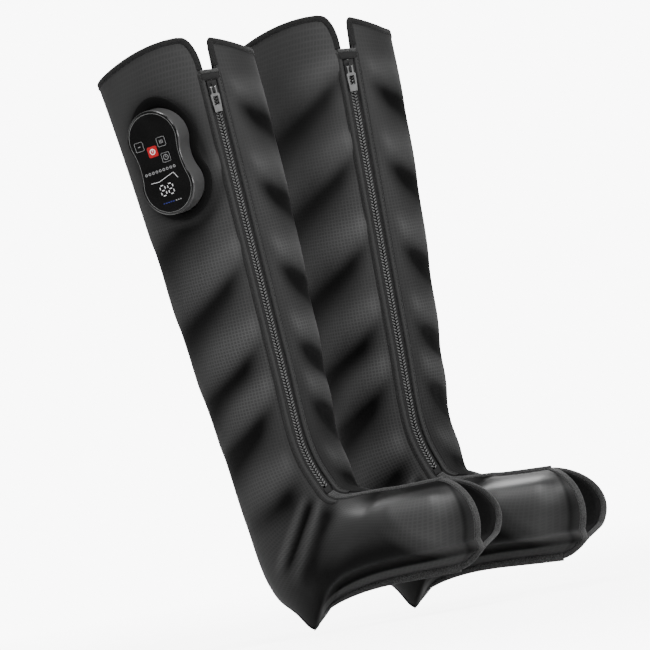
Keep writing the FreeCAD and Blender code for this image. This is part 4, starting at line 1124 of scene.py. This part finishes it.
def stitch_row(points, outward, lift):
    """Run of short thread stitches along a path, standing a little over the cloth."""
    points, outward = resampled(STITCH_LENGTH + STITCH_GAP, points, outward)
    parts = []
    for start, end, up in zip(points[:-1], points[1:], outward[:-1]):
        way = unit(end - start)
        side = unit(np.cross(up, way))
        rings = []
        for share, size, rise in STITCH_ENDS:
            middle = start + way * STITCH_LENGTH * share + up * (lift + rise)
            circle = ring_of(STITCH_R * size, STITCH_R * size, STITCH_SIDES)
            rings.append([middle + side * x + up * y for x, y in circle])
        parts.append(swept(np.array(rings)))
    return joined(parts)


def tape_piece(boot, name, runs, node_names, material=None, slot="binding_tape"):
    """Binding tape swept along one or more runs of rings."""
    parts = []
    cloth = []
    for sections in runs:
        parts.append(swept(boot.place(sections)))
        cloth.append(tape_cloth(sections))
    made = mesh_object(boot.name + "_" + name, *joined(parts), material or TAPE, slot=slot,
                       cloth=np.concatenate(cloth))
    if node_names:
        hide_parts(*[boot.name + "_" + node_name for node_name in node_names])
    return made


def edge_run(points, normals, inside):
    """Rings of a tape folded over an edge, with its path and directions; inside lies on the cloth."""
    points, normals, inside = resampled(RING_STEP, points, normals, inside)
    normals = unit(normals)
    ways = unit(np.gradient(points, axis=0))
    inward = unit(np.cross(normals, ways))
    inward *= np.sign(np.sum(inward * (inside - points)))
    return ring_sweep(points, normals, inward, BINDING_RING), points, normals, inward


def thread_piece(boot, name, parts):
    """Stitches as one mesh piece."""
    points, faces = joined(parts)
    mesh_object(boot.name + "_" + name, boot.place(points), faces, THREAD, slot="binding_tape")


def rim_and_toe_bindings(boot, panels):
    """Tapes folded over the rim, down the notch and round the toe opening, with their stitches."""
    rim_runs, toe_runs, threads = [], [], []
    for side in (-1.0, 1.0):
        grid, normals = panels[side]["points"], panels[side]["normals"]
        rim_points, rim_normals, rim_inside = grid[0, ::-1], normals[0, ::-1], grid[INSIDE_STEP, ::-1]
        if side > 0:
            drop = int(np.sum(grid[:, 0, 2] > NOTCH_FOOT_Z))
            rim_points = np.concatenate([rim_points, grid[1:drop, 0]])
            rim_normals = np.concatenate([rim_normals, normals[1:drop, 0]])
            rim_inside = np.concatenate([rim_inside, grid[1:drop, INSIDE_STEP]])
        edges = ((rim_points, rim_normals, rim_inside, rim_runs),
                 (grid[-1], normals[-1], grid[-1 - INSIDE_STEP], toe_runs))
        for points, edge_normals, inside, runs in edges:
            sections, path, outward, inward = edge_run(points, edge_normals, inside)
            runs.append(sections)
            threads.append(stitch_row(path + inward * EDGE_STITCH_IN, outward, EDGE_STITCH_LIFT))
    tape_piece(boot, "rim_tape", rim_runs, ["rim_binding"], DARK_TAPE)
    tape_piece(boot, "toe_tape", toe_runs, ["toe_binding"])
    thread_piece(boot, "edge_stitches", threads)


def seam_frames(stations, turns):
    """Points of a seam line on the skin with the directions across it and outward."""
    points = skin(stations, turns)
    across = unit(skin(stations, turns - TURN_STEP) - skin(stations, turns + TURN_STEP))
    ways = unit(np.gradient(points, axis=0))
    outward = unit(np.cross(ways, across))
    return points, across, outward


# Seam tapes; at the foot of the zip the instep tape lies flat, wider and thinner than its upright ring
SOLE_STEPS = 110
INSTEP_STEPS = 90
INSTEP_TAPE_ABOVE = 17.0
SEAM_RING_FOOT = -2.7
SEAM_RING_H = 8.3
FLAT_WIDENS = 2.6 / 1.5
FLAT_TOP = 1.2
FLAT_T = 2.0


def foot_bindings(boot):
    """Bound seams under the sole and over the instep, with their stitches."""
    stations = np.linspace(HEEL_STATION, TOE_STATION, SOLE_STEPS)
    rows = rows_at(stations)
    level = np.zeros_like(stations)
    seam = np.stack([rows[:, 2], level, rows[:, 3]], axis=-1)
    inward = unit(np.stack([rows[:, 0], level, rows[:, 1]], axis=-1) - seam)
    side = np.tile((0.0, -1.0, 0.0), (len(stations), 1))
    tape_piece(boot, "sole_tape", [ring_sweep(seam, side, inward, SEAM_RING)], ["sole_binding"])
    line = seam + inward * SEAM_STITCH_IN
    threads = [stitch_row(line, way, SEAM_STITCH_LIFT) for way in (side, -side)]
    stations = np.linspace(ZIP_FOOT_STATION - INSTEP_TAPE_ABOVE, TOE_STATION, INSTEP_STEPS)
    points, across, outward = seam_frames(stations, zip_turns(stations))
    edge = smooth(ZIP_FOOT_STATION, STATIONS[HEEL_ROW + 1], stations)[:, None, None]
    flat = []
    for aside, up in SEAM_RING:
        flat.append((FLAT_WIDENS * aside, FLAT_TOP - FLAT_T * (up - SEAM_RING_FOOT) / SEAM_RING_H))
    flat_run = ring_sweep(points, across, outward, flat)
    upright_run = ring_sweep(points, across, -outward, SEAM_RING)
    tape_piece(boot, "instep_tape", [mix(flat_run, upright_run, edge)], ["instep_binding"])
    begin = len(stations) // 3
    line = points[begin:] - outward[begin:] * SEAM_STITCH_IN
    threads.append(stitch_row(line, -across[begin:], SEAM_STITCH_LIFT))
    thread_piece(boot, "foot_stitches", threads)


BACK_SEAM_R = 1.5
BACK_SEAM_FLAT = 0.8
BACK_SEAM_SIDES = 8
BACK_SEAM_BELOW = 2.0
BACK_SEAM_STEPS = 260


def back_seam(boot):
    """Narrow piping down the back, where the two panels meet."""
    stations = np.linspace(BACK_CORNER + BACK_SEAM_BELOW, HEEL_STATION, BACK_SEAM_STEPS)
    points, across, outward = seam_frames(stations, np.full_like(stations, math.pi))
    ring = ring_of(BACK_SEAM_R, BACK_SEAM_FLAT * BACK_SEAM_R, BACK_SEAM_SIDES)
    tape_piece(boot, "back_piping", [ring_sweep(points, across, outward, ring)], [], THREAD)


# Zip

ZIP_SAMPLES = 420
WELT_RING = ((6.1, -0.9), (6.0, 0.4), (6.5, 1.0), (8.2, 1.25), (10.2, 1.15), (10.9, 0.6), (11.0, -0.5))
TAPE_RING = ((1.7, -2.0), (1.9, -1.75), (6.0, -1.75), (14.0, -1.9), (14.0, -2.4), (1.9, -2.3))
PIPING_AT = 11.5
PIPING_R = 0.55
PIPING_LIFT = 0.1
PIPING_SIDES = 6
ZIP_STITCH_AT = 9.6
ZIP_STITCH_LIFT = 1.2
WELT_VALUES = {"fold": 0.5, "gloss": 0.0, "weave": 0.3}
TOOTH_PITCH = 3.1
TOOTH_RINGS = ((0.45, 0.75, 0.75), (0.9, 1.05, 0.6), (1.6, 0.85, 0.2), (2.9, 0.95, -0.7))
TOOTH_OUTLINE = ((-1.0, -0.6), (-1.0, 0.5), (-0.5, 1.0), (0.5, 1.0), (1.0, 0.5), (1.0, -0.6))
TOOTH_TOP = -0.9
TOOTH_FOOT = -3.1
STRAIGHT_BLEND = 20.0


def zip_stations(last):
    """Stations along the zip from its top to a last one."""
    return np.linspace(zip_station(ZIP_TOP_Z), last, ZIP_SAMPLES)


def strip_sections(stations, side, ring):
    """Rings of a strip beside the zip, given as distances from its middle and heights over the skin."""
    turns = zip_turns(stations)
    sections = []
    for distance, height in ring:
        beside = turn_beside(stations, turns, -side * distance)
        sections.append(skin(stations, beside, -height))
    return np.stack(sections, axis=1)


def zip_frames(last):
    """Middle line of the zip with its directions, which hold still along its straight run."""
    stations = zip_stations(last)
    points, across, outward = seam_frames(stations, zip_turns(stations))
    heights = points[:, 2:3]
    top = oval_point(ZIP_TOP_Z, shaft_oval(ZIP_TOP_Z)[2])
    bend = oval_point(ANKLE_Z, shaft_oval(ANKLE_Z)[2])
    middle = (ZIP_TOP_Z + ANKLE_Z) / 2.0
    along = unit(top - bend)
    straight_out = unit(np.cross(oval_across(middle, shaft_oval(middle)[2]), along))
    straight = smooth(ANKLE_Z - STRAIGHT_BLEND, ANKLE_Z, heights)
    points = mix(points, mix(bend, top, (heights - ANKLE_Z) / (ZIP_TOP_Z - ANKLE_Z)), straight)
    across = unit(mix(across, np.cross(along, straight_out), straight))
    outward = unit(mix(outward, straight_out, straight))
    return points, across, outward


def teeth_parts(side, points, across, outward):
    """Separate teeth of one row, each a small bar with a head that leans along the zip."""
    points, across, outward = resampled(TOOTH_PITCH, points, across, outward)
    parts = []
    ways = unit(np.gradient(points, axis=0))
    shift = 0.0 if side < 0 else 0.5
    middle = (TOOTH_TOP + TOOTH_FOOT) / 2.0
    half = (TOOTH_TOP - TOOTH_FOOT) / 2.0
    for place in range(len(points) - 1):
        start = points[place] + (points[place + 1] - points[place]) * shift
        rings = []
        for reach, size, lean in TOOTH_RINGS:
            centre = start + across[place] * side * reach + outward[place] * middle + ways[place] * lean
            ring = []
            for along, out in TOOTH_OUTLINE:
                ring.append(centre + ways[place] * along * size + outward[place] * out * half)
            rings.append(ring if side > 0 else ring[::-1])
        parts.append(swept(np.array(rings)))
    return parts


def zip_pieces(boot):
    """Welts, stitches, tapes and separate teeth of one zip."""
    stations = zip_stations(ZIP_FOOT_STATION)
    frames = zip_frames(TEETH_FOOT_STATION)
    circle = ring_of(PIPING_R, PIPING_R, PIPING_SIDES)
    piping_ring = [(PIPING_AT + aside, PIPING_LIFT + up) for aside, up in circle]
    threads = []
    piping = []
    for side, label in ((-1.0, "rear"), (1.0, "front")):
        run = strip_sections(stations, side, WELT_RING)
        welt = tape_piece(boot, "zip_welt_" + label, [run], [], FABRIC, "shell_fabric")
        for name, value in WELT_VALUES.items():
            values = np.full(len(welt.data.vertices), value, np.float32)
            welt.data.attributes.new(name, "FLOAT", "POINT").data.foreach_set("value", values)
        run = strip_sections(stations, side, TAPE_RING)
        tape = "zip_tape_" + label
        tape_piece(boot, tape + "_cloth", [run], [tape], ZIP_CLOTH, "zip_tape")
        piping.append(strip_sections(stations, side, piping_ring))
        line = strip_sections(stations, side, ((ZIP_STITCH_AT, 0.0), (ZIP_STITCH_AT, 1.0)))
        threads.append(stitch_row(line[:, 0], unit(line[:, 1] - line[:, 0]), ZIP_STITCH_LIFT))
        points, faces = joined(teeth_parts(side, *frames))
        teeth = mesh_object(boot.name + "_zip_teeth_" + label + "_row", boot.place(points), faces, TEETH,
                            slot="zip_teeth", is_smooth=False)
        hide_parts(boot.name + "_zip_teeth_" + label)
    tape_piece(boot, "zip_piping", piping, [], THREAD, "binding_tape")
    thread_piece(boot, "zip_stitches", threads)


NOTCH_TAB_TOP = 566.5
NOTCH_FOLD_H = 4.0
NOTCH_TAB_H = 11.0
NOTCH_TAB_REACH = 9.0
NOTCH_TAB_STEPS = 15
NOTCH_TAB_BOW = 0.5
NOTCH_FOLD_LIFT = 0.5
NOTCH_TAB_RING = ((0.0, 0.4), (0.1, 1.3), (0.3, 1.6), (0.7, 1.6), (0.9, 1.3), (1.0, 0.4))


def tab_rings(top, foot, lift):
    """Rings of a strip of cloth across the zip between two heights."""
    rings = []
    for reach in np.linspace(-NOTCH_TAB_REACH, NOTCH_TAB_REACH, NOTCH_TAB_STEPS):
        bow = NOTCH_TAB_BOW * (1.0 - (reach / NOTCH_TAB_REACH) ** 2)
        ring = []
        for drop, height in NOTCH_TAB_RING:
            station = zip_station(mix(top, foot, drop))
            turn = turn_beside(station, zip_turns(station), -reach)
            ring.append(skin(station, turn, -height - lift - bow))
        rings.append(ring)
    return np.array(rings)


def notch_tab(boot):
    """Folded cloth tab across the foot of the notch; below its folded edge the tab is black, a painted
    shadow.
    """
    # The tab below the fold is black cloth: painted shadow under the folded edge
    tab = tab_rings(NOTCH_TAB_TOP - NOTCH_FOLD_H / 2.0, NOTCH_TAB_TOP - NOTCH_TAB_H, 0.0)
    tape_piece(boot, "notch_tab_cloth", [tab], ["notch_tab"], THREAD)
    fold = tab_rings(NOTCH_TAB_TOP, NOTCH_TAB_TOP - NOTCH_FOLD_H, NOTCH_FOLD_LIFT)
    tape_piece(boot, "notch_tab_fold", [fold], [])


for boot in (FIRST, SECOND):
    panels = {side: panel_piece(boot, side, boot is FIRST) for side in (-1.0, 1.0)}
    lining_piece(boot)
    rim_and_toe_bindings(boot, panels)
    foot_bindings(boot)
    back_seam(boot)
    zip_pieces(boot)
    notch_tab(boot)


# Control unit: collar, marks and finishes

COLLAR_RING = ((0.4, -1.0), (0.5, 0.3), (1.6, 0.6), (4.5, 1.0), (7.2, 1.1), (8.3, 0.7), (8.6, -0.6))


def control_collar():
    """Smooth collar between the panel and the control unit, following the boot's curve."""
    outlines = np.stack([waisted_outline(-out) for out, _ in COLLAR_RING], axis=1)
    points = CONTROL_PLACE + outlines @ CONTROL_AXES[:2]
    stations = np.interp(-points[..., 2], -ROWS[:FIRST_FOOT_ROW, 1], STATIONS[:FIRST_FOOT_ROW])
    rows = rows_at(stations)
    before_middle = (rows[..., 0] + rows[..., 2]) / 2.0 - points[..., 0]
    turns = np.arccos(np.clip(before_middle / ((rows[..., 2] - rows[..., 0]) / 2.0), -1.0, 1.0))
    lifted = []
    for column, (_, height) in enumerate(COLLAR_RING):
        lifted.append(skin(stations[:, column], turns[:, column], -height))
    collar = swept(FIRST.place(np.stack(lifted, axis=1)), closed=True)
    made = mesh_object("control_collar_moulded", *collar, COLLAR, slot="binding_tape")
    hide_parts("control_collar")


MARK_T = 0.10
LINE_W = 0.38
KEY_CORNER = 1.4
KEY_INNER_CORNER = 0.9


def bar(start, end, width, height):
    """Thin raised bar between two places on the fascia."""
    start, end = np.array(start, float), np.array(end, float)
    way = unit(end - start)
    aside = np.array((-way[1], way[0])) * width / 2.0
    corners = [start - aside, end - aside, end + aside, start + aside]
    points = [(x, y, height - MARK_T) for x, y in corners] + [(x, y, height + MARK_T) for x, y in corners]
    faces = [[3, 2, 1, 0], [4, 5, 6, 7], [0, 1, 5, 4], [1, 2, 6, 5], [2, 3, 7, 6], [3, 0, 4, 7]]
    return control_points(points), faces


def outline_band(outer, inner, height):
    """Thin raised band between two outlines with as many points."""
    rings = []
    for a, b in zip(outer, inner):
        rings.append(control_points([
            (*a, height - MARK_T), (*b, height - MARK_T), (*b, height + MARK_T), (*a, height + MARK_T)]))
    return swept(np.array(rings), closed=True)


def rounded_square(place, half, corner, count=5):
    """Points round a square with rounded corners."""
    points = []
    for turn, (sx, sy) in enumerate(((1, 1), (-1, 1), (-1, -1), (1, -1))):
        for angle in np.linspace(0.0, math.pi / 2.0, count) + turn * math.pi / 2.0:
            points.append((place[0] + sx * (half - corner) + corner * math.cos(angle),
                           place[1] + sy * (half - corner) + corner * math.sin(angle)))
    return points


def square_band(place, half, height):
    """Outlined square key mark."""
    outer = rounded_square(place, half, KEY_CORNER)
    return outline_band(outer, rounded_square(place, half - LINE_W, KEY_INNER_CORNER), height)


def round_band(place, radius, height, width=LINE_W, count=24):
    """Ring mark."""
    outer, inner = (np.array(place) + ring_of(size, size, count) for size in (radius, radius - width))
    return outline_band(outer, inner, height)


def mark_piece(name, parts, material, body=ROOT, slot="fascia_gloss"):
    """Raised marks as one piece."""
    mesh_object(name, *joined(parts), material, body=body, slot=slot, is_smooth=False)


KEY_PLACES = {"minus": (-16.8, 21.2), "power": (-4.1, 12.8), "heat": (8.4, 20.1), "time": (8.4, 3.9)}
KEY_MARK_HALF = 4.8
FASCIA_INSET = 3.0
FASCIA_DRAW = 3.0
DIGIT_W = 5.6
DIGIT_H = 10.4
DIGITS_AT = (-1.6, -27.2)
DIGIT_STEP = 8.8
SEGMENT_CUT = 1.35
SEGMENT_W = 0.75


# Key marks and fascia marks in the control unit's own frame
MINUS_HALF = 1.4
MINUS_W = 0.7
POWER_R = 3.0
POWER_W = 0.8
POWER_BAR = (-0.4, 2.0)
HEAT_STEPS = (-1.5, 0.0, 1.5)
HEAT_HALF = 1.8
HEAT_W = 0.6
CLOCK_R = 2.9
CLOCK_W = 0.6
CLOCK_HANDS = ((0.0, 1.8), (1.3, 0.0))
HAND_W = 0.5
GAUGE_LINE = ((-16.7, -17.2), (-7.5, -17.8), (10.7, -12.6), (14.2, -18.9))
DOT_COUNT = 9
DOT_SPAN = (-19.0, 14.0)
DOT_Y = -7.9
DOT_RISE = 0.12
DOT_R = 1.5
DOT_W = 0.7
DOT_SIDES = 10
TRIM_HALF = 0.2

# Rows of bars along the foot of the fascia: first and last place, count, length and width
BARS_Y = -40.0
BLUE_BARS = (-10.5, 0.5, 5, 2.0, 0.9)
PALE_BARS = (4.0, 9.0, 3, 1.6, 1.1)


def digit_parts(place):
    """Seven separate bars of one lit digit."""
    x, y = place
    left, right = x - DIGIT_W / 2.0, x + DIGIT_W / 2.0
    foot, top = y - DIGIT_H / 2.0, y + DIGIT_H / 2.0
    ends = [((left, level), (right, level)) for level in (top, y, foot)]
    ends += [((edge, low), (edge, high)) for low, high in ((foot, y), (y, top)) for edge in (left, right)]
    parts = []
    for start, end in np.array(ends):
        way = unit(end - start) * SEGMENT_CUT
        parts.append(bar(start + way, end - way, SEGMENT_W, CONTROL_TOP))
    return parts


def key_mark(name, place):
    """Marks on one key: a minus, a power ring, heat bars or a clock."""
    x, y = place
    if name == "power":
        ring = round_band(place, POWER_R, KEY_TOP, POWER_W)
        return [ring, bar((x, y + POWER_BAR[0]), (x, y + POWER_BAR[1]), POWER_W, KEY_TOP)]
    parts = [square_band(place, KEY_MARK_HALF, KEY_TOP)]
    if name == "minus":
        parts.append(bar((x - MINUS_HALF, y), (x + MINUS_HALF, y), MINUS_W, KEY_TOP))
    elif name == "heat":
        for step in HEAT_STEPS:
            parts.append(bar((x + step, y - HEAT_HALF), (x + step, y + HEAT_HALF), HEAT_W, KEY_TOP))
    else:
        parts.append(round_band(place, CLOCK_R, KEY_TOP, CLOCK_W))
        for across, up in CLOCK_HANDS:
            parts.append(bar(place, (x + across, y + up), HAND_W, KEY_TOP))
    return parts


def bar_row(first, last, count, length, width):
    """Row of short bars along the foot of the fascia."""
    starts = np.linspace(first, last, count)
    return [bar((x, BARS_Y), (x + length, BARS_Y), width, CONTROL_TOP) for x in starts]


def control_marks():
    """Generic marks of the fascia and keys, with no words."""
    for name, place in KEY_PLACES.items():
        material, slot = (WHITE, "key_red") if name == "power" else (GREY_MARK, "key_black")
        mark_piece(name + "_key_mark", key_mark(name, place), material, name + "_button", slot)
    white = []
    for step in (-DIGIT_STEP / 2.0, DIGIT_STEP / 2.0):
        white += digit_parts((DIGITS_AT[0] + step, DIGITS_AT[1]))
    for start, end in zip(GAUGE_LINE, GAUGE_LINE[1:]):
        white.append(bar(start, end, LINE_W, CONTROL_TOP))
    mark_piece("fascia_white_marks", white, WHITE)
    grey = []
    for place in range(DOT_COUNT):
        middle = (mix(*DOT_SPAN, place / (DOT_COUNT - 1)), DOT_Y + DOT_RISE * place)
        grey.append(round_band(middle, DOT_R, CONTROL_TOP, DOT_W, DOT_SIDES))
    mark_piece("fascia_grey_marks", grey, GREY_MARK)
    mark_piece("fascia_blue_marks", bar_row(*BLUE_BARS), BLUE)
    mark_piece("fascia_pale_marks", bar_row(*PALE_BARS), GREY_MARK)
    outer = waisted_outline(FASCIA_INSET - TRIM_HALF, FASCIA_DRAW)
    inner = waisted_outline(FASCIA_INSET + TRIM_HALF, FASCIA_DRAW)
    mark_piece("fascia_trim", [outline_band(outer, inner, CONTROL_TOP)], RIM_LINE, ROOT, "control_case")


HOUSING_EDGE_R = 2.4
BORDER_INSET = 0.55
BORDER_T = 0.08
BORDER_STEPS = 6


def control_border():
    """Gloss black border over the housing's rounded rim, up to the fascia."""
    outer = waisted_outline(BORDER_INSET)
    inner = waisted_outline(FASCIA_INSET - TRIM_HALF, FASCIA_DRAW)
    upper, lower = [], []
    for share in np.linspace(0.0, 1.0, BORDER_STEPS):
        outline = mix(outer, inner, share)
        inset = BORDER_INSET + np.linalg.norm(outline - outer, axis=-1)
        inside = np.maximum(HOUSING_EDGE_R - inset, 0.0)
        height = CONTROL_TOP - HOUSING_EDGE_R + np.sqrt(HOUSING_EDGE_R ** 2 - inside ** 2)
        upper.append(np.column_stack([outline, height + BORDER_T]))
        lower.append(np.column_stack([outline, height - BORDER_T]))
    sections = np.stack(upper + lower[::-1], axis=1)
    placed = control_points(sections.reshape(-1, 3)).reshape(sections.shape)
    mesh_object("control_border", *swept(placed, closed=True), GLOSS, slot="control_case")


control_collar()
control_marks()
control_border()

# Material and edge rounding, in metres, of each CAD piece that stays in view
ROUNDING_ANGLE = math.radians(35.0)
NODE_LOOKS = {
    "control_housing": (CASE, 0.0008), "control_tray": (CASE, 0.0004), "control_fascia": (GLOSS, 0.0),
    "control_screws": (STEEL, 0.0002), "minus_key": (GLOSS, 0.0002), "heat_key": (GLOSS, 0.0002),
    "time_key": (GLOSS, 0.0002), "power_key": (RED, 0.0002), "key_switches": (MOULDED, 0.0002),
    "circuit_board": (BOARD, 0.0001), "display_module": (GLOSS, 0.0002), "battery": (FILM, 0.0006),
    "air_pump": (MOULDED, 0.0004), "pump_motor": (STEEL, 0.0004), "valve_block": (MOULDED, 0.0004),
    "charge_socket": (STEEL, 0.0001),
}
for prefix in ("first_", "second_"):
    NODE_LOOKS[prefix + "zip_slider"] = (BLACKENED, 0.0003)
    NODE_LOOKS[prefix + "zip_puller"] = (PAINTED, 0.0003)
    NODE_LOOKS[prefix + "zip_bottom_stop"] = (THREAD, 0.0004)
    NODE_LOOKS[prefix + "hose_port"] = (MOULDED, 0.0005)


def finish_nodes():
    """Materials and rounded edges of the CAD pieces that stay in view."""
    for name, (material, edge) in NODE_LOOKS.items():
        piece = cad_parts[name]
        piece.data.materials.clear()
        piece.data.materials.append(material)
        if not edge:
            continue
        rounding = piece.modifiers.new("rounding", "BEVEL")
        rounding.width = edge
        rounding.segments = 2
        rounding.limit_method = "ANGLE"
        rounding.angle_limit = ROUNDING_ANGLE


finish_nodes()


# Stage: floor and soft light, in metres and watts

FLOOR_DROP = 0.004
FLOOR_R = 4.0
FLOOR_SIDES = 96
FLOOR_GLOW = 6.0
FLOOR_FADE = {"From Min": 0.9, "From Max": 2.6, "To Min": 1.0, "To Max": 0.0}
WORLD_SEEN = 9.0
WORLD_LIGHT = 0.16

# Place, aim, size and power of each lamp
LAMPS = {
    "key": ((1.3, -1.7, 1.9), (0.0, 0.0, 0.28), 0.9, 46.0),
    "top": ((0.1, -0.5, 2.2), (0.05, 0.0, 0.1), 0.6, 38.0),
    "right": ((1.7, -0.5, 0.45), (0.05, 0.0, 0.25), 0.5, 14.0),
    "left": ((-1.9, -1.0, 0.9), (0.0, 0.0, 0.25), 0.8, 8.0),
    "back": ((-0.8, 2.0, 1.6), (0.0, 0.1, 0.3), 1.2, 70.0),
}


def make_floor():
    """Large pale disc under the pair that fades out at its edge."""
    height = cad_low.z - FLOOR_DROP
    ring = [(x, y, height) for x, y in ring_of(FLOOR_R, FLOOR_R, FLOOR_SIDES)]
    mesh = bpy.data.meshes.new("floor")
    mesh.from_pydata(ring, [], [tuple(range(len(ring)))])
    material, tree, shader = new_material("floor")
    coordinates = tree.nodes.new("ShaderNodeTexCoord")
    away = tree.nodes.new("ShaderNodeVectorMath")
    away.operation = "LENGTH"
    tree.links.new(coordinates.outputs["Object"], away.inputs[0])
    fade = node(tree, "ShaderNodeMapRange", **FLOOR_FADE)
    tree.links.new(away.outputs["Value"], fade.inputs["Value"])
    tree.links.new(fade.outputs["Result"], shader.inputs["Alpha"])
    set_inputs(shader, {"Base Color": opaque(0.8), "Roughness": 0.9, "Emission Color": opaque(1.0)})
    path = tree.nodes.new("ShaderNodeLightPath")
    glow = times(tree, path.outputs["Is Camera Ray"], FLOOR_GLOW)
    tree.links.new(glow, shader.inputs["Emission Strength"])
    mesh.materials.append(material)
    floor = new_object("floor", mesh)


def make_world():
    """White surroundings: bright to the camera, softer as light."""
    world = bpy.data.worlds.new("studio")
    bpy.context.scene.world = world
    world.use_nodes = True
    tree = world.node_tree
    tree.nodes.clear()
    path = tree.nodes.new("ShaderNodeLightPath")
    seen = node(tree, "ShaderNodeBackground", Color=opaque(1.0), Strength=WORLD_SEEN)
    light = node(tree, "ShaderNodeBackground", Color=opaque(1.0), Strength=WORLD_LIGHT)
    mixed = tree.nodes.new("ShaderNodeMixShader")
    output = tree.nodes.new("ShaderNodeOutputWorld")
    tree.links.new(path.outputs["Is Camera Ray"], mixed.inputs[0])
    tree.links.new(light.outputs[0], mixed.inputs[1])
    tree.links.new(seen.outputs[0], mixed.inputs[2])
    tree.links.new(mixed.outputs[0], output.inputs["Surface"])


def area_light(name, place, aim, size, power):
    """Soft square light aimed at a point."""
    data = bpy.data.lights.new(name, "AREA")
    data.size = size
    data.energy = power
    light = new_object(name, data)
    light.location = place
    light.rotation_mode = "QUATERNION"
    light.rotation_quaternion = (Vector(aim) - Vector(place)).to_track_quat("-Z", "Y")


make_floor()
make_world()
for lamp, settings in LAMPS.items():
    area_light(lamp, *settings)
